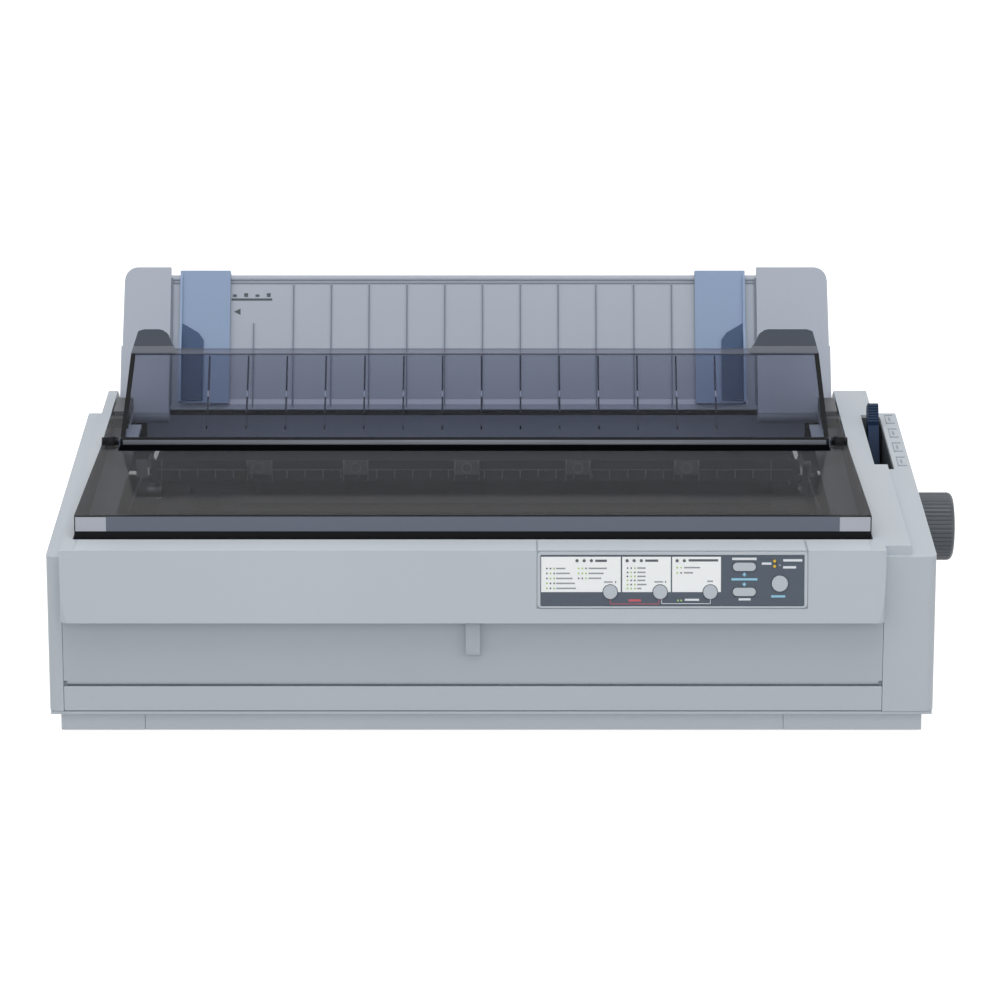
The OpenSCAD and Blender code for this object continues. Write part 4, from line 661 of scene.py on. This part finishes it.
def shine_band(name, half, inner, outer, end, steps=8):
    """A painted highlight: a curved strip on the front of the rod, from straight ahead up to the angle
    end.
    """
    turns = [math.radians(end * i / steps) for i in range(steps + 1)]
    ring = [(HINGE_Y - outer * math.cos(a), HINGE_Z + outer * math.sin(a)) for a in turns]
    ring += [(HINGE_Y - inner * math.cos(a), HINGE_Z + inner * math.sin(a)) for a in reversed(turns)]
    bm = bmesh.new()
    prism(bm, ring, -half, half, along_x)
    piece_from(name, bm, "guide_cover", "hinge_painted_highlight", True)

rod("guide_hinge_rod", "guide_cover", -256, 256, 4.62, 32)
shine_band("hinge_shine", 254, 4.65, 4.8, 44)
rod("hinge_cap_left", "printer_cover", -267, -260, 5.2)
rod("hinge_cap_right", "printer_cover", 260, 267, 5.2)

# %% Guide cover edges
GUIDE_ANGLE = math.radians(48)
GUIDE_LENGTH = 75.5
on_guide = leaning((MID, HINGE_Y, HINGE_Z), GUIDE_ANGLE)
plates("guide_edge_bands", "guide_cover", "cover_black", [
    [(side * 256.3, 3.5), (side * 252.0, 75), (side * 248.6, 75), (side * 252.9, 3.5)]
    for side in (-1, 1)], 1.0, 1.4, on_guide)
plates("guide_top_line", "guide_cover", "ear_dark",
       [plain_bar(-251.8, 74.4, 251.8, 75.3)], 1.0, 1.35, on_guide)

# %% Ribs of the guide cover, seen through the smoke, as painted shade lines and painted highlights
clean("rib_painted_shade", (56, 60, 70), 0.5, 0.05)
clean("rib_painted_highlight", (150, 156, 172), 0.4)
GUIDE_RIBS, GUIDE_RIB_START, GUIDE_RIB_PITCH = 14, -194.4, 28.46

def guide_ribs(name, low, high, width, finish):
    centre = on_guide(GUIDE_RIB_START, (low + high) / 2, -1.35)
    values = {"Count": GUIDE_RIBS, "Start": centre, "Step": Vector((GUIDE_RIB_PITCH, 0, 0)) * MM,
              "Size": Vector((width, high - low, 0.3)) * MM, "Turn": Vector((GUIDE_ANGLE, 0, 0))}
    grow(name, row_tree, values, "guide_cover", finish)

guide_ribs("guide_rib_shade_lines", 26.5, 74.5, 1.1, "rib_painted_shade")
guide_ribs("guide_rib_painted_glints", 39.8, 44.8, 1.9, "rib_painted_highlight")

# %% Ears of the guide cover
FLANGE_RISE = math.radians(10)
FLANGE_START = 1.1
on_top = leaning((MID, HINGE_Y + GUIDE_LENGTH * math.cos(GUIDE_ANGLE),
                  HINGE_Z + GUIDE_LENGTH * math.sin(GUIDE_ANGLE)), FLANGE_RISE)

def on_flange(u, b, height):
    return on_top(u, b - FLANGE_START, height)

def ear_outline(side, width, foot, inset=0.4):
    """The outline of one ear above the line b = foot, drawn in a little from the ear's own edge."""
    sweep = [(width + 12 * i / 8 - inset, 10 + 35 * (1 + math.cos(math.pi * i / 8)) / 2) for i in range(9)]
    sweep = [(u, b) for u, b in sweep if b > foot]
    edge = [(inset, foot), (1 + inset, 46), (5 + inset, 50 - inset), (width - 4 - inset, 50 - inset),
            (width - 1 - inset, 48 - inset)] + sweep + [(sweep[-1][0] + 1.2, foot)]
    return [(side * (252 - u), b) for u, b in edge]

# The lower part of each ear is a lighter grey: painted light where the ear bends forward to face up. The
# upper part has the ear's own dark colour.
for name, foot, height, finish in (("guide_ears_lower_painted_light", 0.6, 1.25, "ear_painted_light"),
                                   ("guide_ears_upper", 15, 1.4, "ear_dark")):
    plates(name, "guide_cover", finish,
           [ear_outline(-1, 21, foot), ear_outline(1, 38.4, foot)], 1.0, height, on_flange)

# %% [markdown]
# ## Rulers and ribs
# The paper bail carries a ruled strip with a mark every half inch. The sheet guide has a small
# scale for setting the left edge guide. Marks, and the painted shade lines along the ribs, are rows
# of equal blocks, made by a tree.

# %% Ruled strip of the paper bail
satin("ruler_grey", (118, 120, 122))
boxes("ruler_face", "paper_bail", "ruler_grey", [((-236, 43.35, 122.4), (236, 43.85, 137.4))])
boxes("ruler_line", "paper_bail", "ink_white", [((-232, 42.9, 130.3), (232, 43.3, 130.9))])
MARK_START, MARK_Y, MARK_PITCH = -228.9, 42.7, 13.1
for name, count, shift_x, middle, pitch, width, tall in (
        ("ruler_marks", 35, 0, 128.8, MARK_PITCH, 0.8, 3.2),
        ("ruler_low_marks", 35, 0, 125.6, MARK_PITCH, 0.8, 1.9),
        ("ruler_fine_marks", 34, MARK_PITCH / 2, 129.6, MARK_PITCH, 0.5, 0.9),
        ("ruler_end_marks", 2, 0, 130.4, 34 * MARK_PITCH, 0.9, 14)):
    row(name, count, (MARK_START + shift_x, MARK_Y, middle), (pitch, 0, 0), (width, 0.3, tall),
        "paper_bail", "ink_white")

# %% Scale on the sheet guide
SHEET_LEAN = math.radians(66.8)
on_sheet = leaning((MID, 150, 150), SHEET_LEAN)
scale_marks = [plain_bar(-185 + i * 8.6, 91.5, -182 + i * 8.6, 94.5 if i % 2 else 93.5) for i in range(4)]
plates("guide_scale", "sheet_guide", "seam_shadow", scale_marks + [
    plain_bar(-186, 88.6, -155, 90.4), [(-184, 80), (-179, 77.5), (-179, 82.5)]], 1.0, 1.18, on_sheet)

# %% Painted shade along the ribs, and foot of the sheet guide
# The dark lines along the ribs and along the other raised edges of the sheet guide are painted shade.
clean("sheet_painted_shade", (132, 140, 152), 0.5, 0.1)
clean("sheet_foot", (225, 230, 238), 0.4)
SHEET_RIBS, SHEET_RIB_START, SHEET_RIB_PITCH = 11, -138.7, 28.75
row_values = {"Count": SHEET_RIBS, "Start": on_sheet(SHEET_RIB_START, 53.5, 2.4),
              "Step": Vector((SHEET_RIB_PITCH, 0, 0)) * MM, "Size": Vector((0.9, 95, 0.2)) * MM,
              "Turn": Vector((SHEET_LEAN, 0, 0))}
grow("sheet_rib_shade_lines", row_tree, row_values, "sheet_guide", "sheet_painted_shade")
SHORT_RIB = SHEET_RIB_START - SHEET_RIB_PITCH - 1.4
bm = bmesh.new()
prism(bm, plain_bar(SHORT_RIB - 0.45, 6, SHORT_RIB + 0.45, 71), 2.3, 2.5, on_sheet)
for u in (-231.2, 212.6):
    prism(bm, plain_bar(u - 0.7, 8, u + 0.7, 106), 1.0, 3.0, on_sheet)
prism(bm, plain_bar(-231, 101.5, 212, 102.8), 1.05, 1.3, on_sheet)
piece_from("sheet_shade_lines", bm, "sheet_guide", "sheet_painted_shade")
plates("sheet_foot_band", "sheet_guide", "sheet_foot",
       [plain_bar(-225, 8, 206, 11.8)], 0.95, 1.25, on_sheet)

# %% Wings of the edge guides
# The wings' darker blue is painted shade: the folded lower part of each edge guide faces down, away from
# the light.
clean("wing_blue_painted_shade", (74, 94, 126), 0.4, 0.2)
WING = [(0.2, 10.2), (18.3, 10.2), (18.3, 57), (14.5, 62.5), (0.2, 71)]
for side, name, outer in ((-1, "left", 224.8), (1, "right", 204.6)):
    plates("edge_wing_" + name, "edge_guide_" + name, "wing_blue_painted_shade",
           [[(side * (outer - u), v) for u, v in WING]], 4.95, 6.6, on_sheet)

# %% [markdown]
# ## Behind the platen
# A shelf lies over the tractors, below the sheet guide. It keeps the light of the rear paper entry
# out of the mechanism, so the bay looks dark through the cover, as it does in the photograph.

# %% Shelf over the tractors
# The rear bar itself is dark trim; the pale face laid on it is painted light on the bar as it shows
# through the guide cover.
finishes["bay_painted_light"] = grained("bay_painted_light", tone(196, 203, 216), 0.5, 0.05, 0.1, 0.1, gloss=0.2)
boxes("tractor_shelf", "case", "dark_trim",
      [((-241.5, 116, 116.1), (241.5, 183.8, 117.6))]
      + [((left, 112, 114.4), (right, 188, 115.3)) for left, right in both_sides(246.2, 267)])
BAR_FACE, BAR_HALF, BAR_TOP = 183.2, 252, 142.9
boxes("rear_bar_painted_light", "case", "bay_painted_light",
      [((-BAR_HALF, BAR_FACE, 116.2), (BAR_HALF, BAR_FACE + 0.7, BAR_TOP))])
boxes("rear_bar_lip", "case", "dark_trim",
      [((-BAR_HALF, BAR_FACE, BAR_TOP), (BAR_HALF, BAR_FACE + 1.4, 150))])

# %% [markdown]
# ## Rollers of the paper bail
# Each roller turns in a small holder. The holders stand in front of the ruled strip, and show as
# pale squares, each with a ring, through the smoke cover.

# %% Roller holders
satin("holder_grey", (205, 208, 212))
satin("ring_grey", (252, 252, 252))
ROLLERS = (-157.2, -87.1, -6, 75.4, 154.8)
HOLDER_HALF, HOLDER_FRONT, HOLDER_FOOT, HOLDER_TOP = 8.6, 41.9, 127.2, 137.6
holders = []
for x in ROLLERS:
    holders.append(((x - HOLDER_HALF, HOLDER_FRONT, HOLDER_FOOT), (x + HOLDER_HALF, 42.5, HOLDER_TOP)))
    for left, right in both_sides(HOLDER_HALF, HOLDER_HALF + 0.8):
        holders.append(((x + left, HOLDER_FRONT, 122.4), (x + right, 43.2, HOLDER_TOP + 0.4)))
boxes("roller_holders", "paper_bail", "holder_grey", holders)

# %% Rings and end plates
RING_FRONT, RING_BACK, RING_Z = 41.5, 41.85, 132.2
RING_IN, RING_OUT, RING_STEPS = 3.1, 3.9, 24
bm = bmesh.new()
turns = [2 * math.pi * i / RING_STEPS for i in range(RING_STEPS + 1)]
for x in ROLLERS:
    for start, end in zip(turns, turns[1:]):
        ring = [(x + r * math.cos(a), RING_Z + r * math.sin(a)) for r, a in
                ((RING_IN, start), (RING_OUT, start), (RING_OUT, end), (RING_IN, end))]
        prism(bm, ring, RING_FRONT, RING_BACK, lambda u, v, w: world(u, w, v))
    for left, right in both_sides(HOLDER_HALF - 0.4, HOLDER_HALF + 0.4):
        prism(bm, plain_bar(x + left, RING_FRONT, x + right, RING_BACK), HOLDER_FOOT, HOLDER_TOP, world)
piece_from("roller_rings", bm, "paper_bail", "ring_grey", True)
boxes("bail_end_plates", "paper_bail", "ring_grey", [
    ((-247.5, 43, 125), (-239.5, 43.8, 138)),
    ((243.4, 43, 128), (245.6, 43.8, 137)),
    ((243.4, 43, 125), (248, 43.8, 128))])

# %% [markdown]
# ## Well of the release lever
# The slot in the right shoulder has walls that go down into the case, so nothing of the inside
# shows beside the lever. Four raised boxes beside the slot stand for its paper positions.

# %% Slot well
# The walls of the well are case plastic; their dark grey is painted shade deep in the slot.
finishes["well_painted_shade"] = grained("well_painted_shade", tone(88, 93, 98), 0.5, 0.04, 0.05, 0.02, gloss=0.2)
LEVER_X = 260.85 - MID
WELL_FOOT = 98
SHOULDER_FRONT, SHOULDER_LOW, SHOULDER_RISE = -188, 122.7, math.tan(math.radians(7.67))

def on_shoulder(x, y, height):
    return world(LEVER_X + x, y, SHOULDER_LOW + (y - SHOULDER_FRONT) * SHOULDER_RISE + height)

BOX_FACES = ((0, 3, 2, 1), (4, 5, 6, 7), (0, 1, 5, 4), (1, 2, 6, 5), (2, 3, 7, 6), (3, 0, 4, 7))
bm = bmesh.new()
for x0, y0, x1, y1 in ((-7.15, -18.4, -6.4, 92.4), (6.4, -18.4, 7.15, 92.4),
                       (-6.4, -18.4, 6.4, -17.6), (-6.4, 91.6, 6.4, 92.4)):
    corners = plain_bar(x0, y0, x1, y1)
    wall = [bm.verts.new(world(LEVER_X + x, y, WELL_FOOT)) for x, y in corners]
    wall += [bm.verts.new(on_shoulder(x, y, -0.4)) for x, y in corners]
    for face in BOX_FACES:
        bm.faces.new([wall[i] for i in face])
piece_from("lever_well", bm, "case", "well_painted_shade")

# %% Raised marks beside the slot
clean("raised_grey", (158, 165, 172), 0.5, 0.2)
MARK_LEFT, MARK_RIGHT, MARK_LENGTH = 10.6, 17, 19
marks = []
for i in range(4):
    y = -12 + i * 30
    marks += [plain_bar(MARK_LEFT, y, MARK_LEFT + 0.6, y + MARK_LENGTH),
              plain_bar(MARK_LEFT, y, MARK_RIGHT, y + 1.6),
              plain_bar(MARK_LEFT, y + MARK_LENGTH - 1.6, MARK_RIGHT, y + MARK_LENGTH),
              plain_bar(13, y + 6, 14.4, y + 13)]
plates("lever_marks", "case", "raised_grey", marks, -0.1, 0.25, on_shoulder)

# %% [markdown]
# ## Floor, world and lamps
# A studio shot on white: one broad soft lamp above, weaker ones in front and at the sides, and a
# floor that glows just enough for the camera to melt into the white background.

# %% Floor
def seen_directly(tree):
    """1 for a ray from the camera, also one that a surface mirrors or bends, and 0 for other light."""
    rays = tree.nodes.new("ShaderNodeLightPath").outputs
    seen = math_node(tree, "MAXIMUM", rays["Is Camera Ray"], rays["Is Glossy Ray"])
    return math_node(tree, "MAXIMUM", seen, rays["Is Transmission Ray"])

WHITE = (1, 1, 1, 1)
FLOOR_HALF, FLOOR_Z, FLOOR_GLOW = 20000, -0.2, 0.85
mesh = bpy.data.meshes.new("studio_floor")
mesh.from_pydata([Vector((u, v, FLOOR_Z)) * MM for u, v in
                  plain_bar(-FLOOR_HALF, -FLOOR_HALF, FLOOR_HALF, FLOOR_HALF)], [], [(0, 1, 2, 3)])
floor = bpy.data.objects.new("studio_floor", mesh)
bpy.context.scene.collection.objects.link(floor)
floor_finish, tree, shader, place = new_finish("studio_floor")
shader.inputs["Base Color"].default_value = (0.6, 0.6, 0.6, 1)
shader.inputs["Roughness"].default_value = 0.9
shader.inputs["Emission Color"].default_value = WHITE
glow = math_node(tree, "MULTIPLY", seen_directly(tree), FLOOR_GLOW)
tree.links.new(glow, shader.inputs["Emission Strength"])
mesh.materials.append(floor_finish)

# %% World
studio = bpy.data.worlds.new("studio")
bpy.context.scene.world = studio
studio.use_nodes = True
tree = studio.node_tree
backdrop = tree.nodes["Background"]
level = tree.nodes.new("ShaderNodeMapRange")
level.inputs["To Min"].default_value = 0.45
level.inputs["To Max"].default_value = 1.0
tree.links.new(seen_directly(tree), level.inputs["Value"])
tree.links.new(level.outputs[0], backdrop.inputs["Strength"])
backdrop.inputs["Color"].default_value = WHITE

# %% Lamps
LAMP_AIM = Vector((0, 0, 0.1))

def soft_lamp(name, place, size, power):
    lamp = bpy.data.lights.new(name, "AREA")
    lamp.shape = "RECTANGLE"
    lamp.size, lamp.size_y = size
    lamp.energy = power
    thing = bpy.data.objects.new(name, lamp)
    thing.location = place
    thing.rotation_euler = (LAMP_AIM - Vector(place)).to_track_quat("-Z", "Y").to_euler()
    bpy.context.scene.collection.objects.link(thing)

soft_lamp("top_lamp", (0, -0.9, 2.6), (2.6, 1.8), 29)
soft_lamp("left_lamp", (-2.4, -1.8, 1.2), (1.4, 1.4), 7)
soft_lamp("right_lamp", (2.4, -1.8, 1.2), (1.4, 1.4), 7)
soft_lamp("front_lamp", (0, -3.2, 1.5), (2.4, 1.2), 11)
bpy.context.scene.view_settings.view_transform = "Standard"
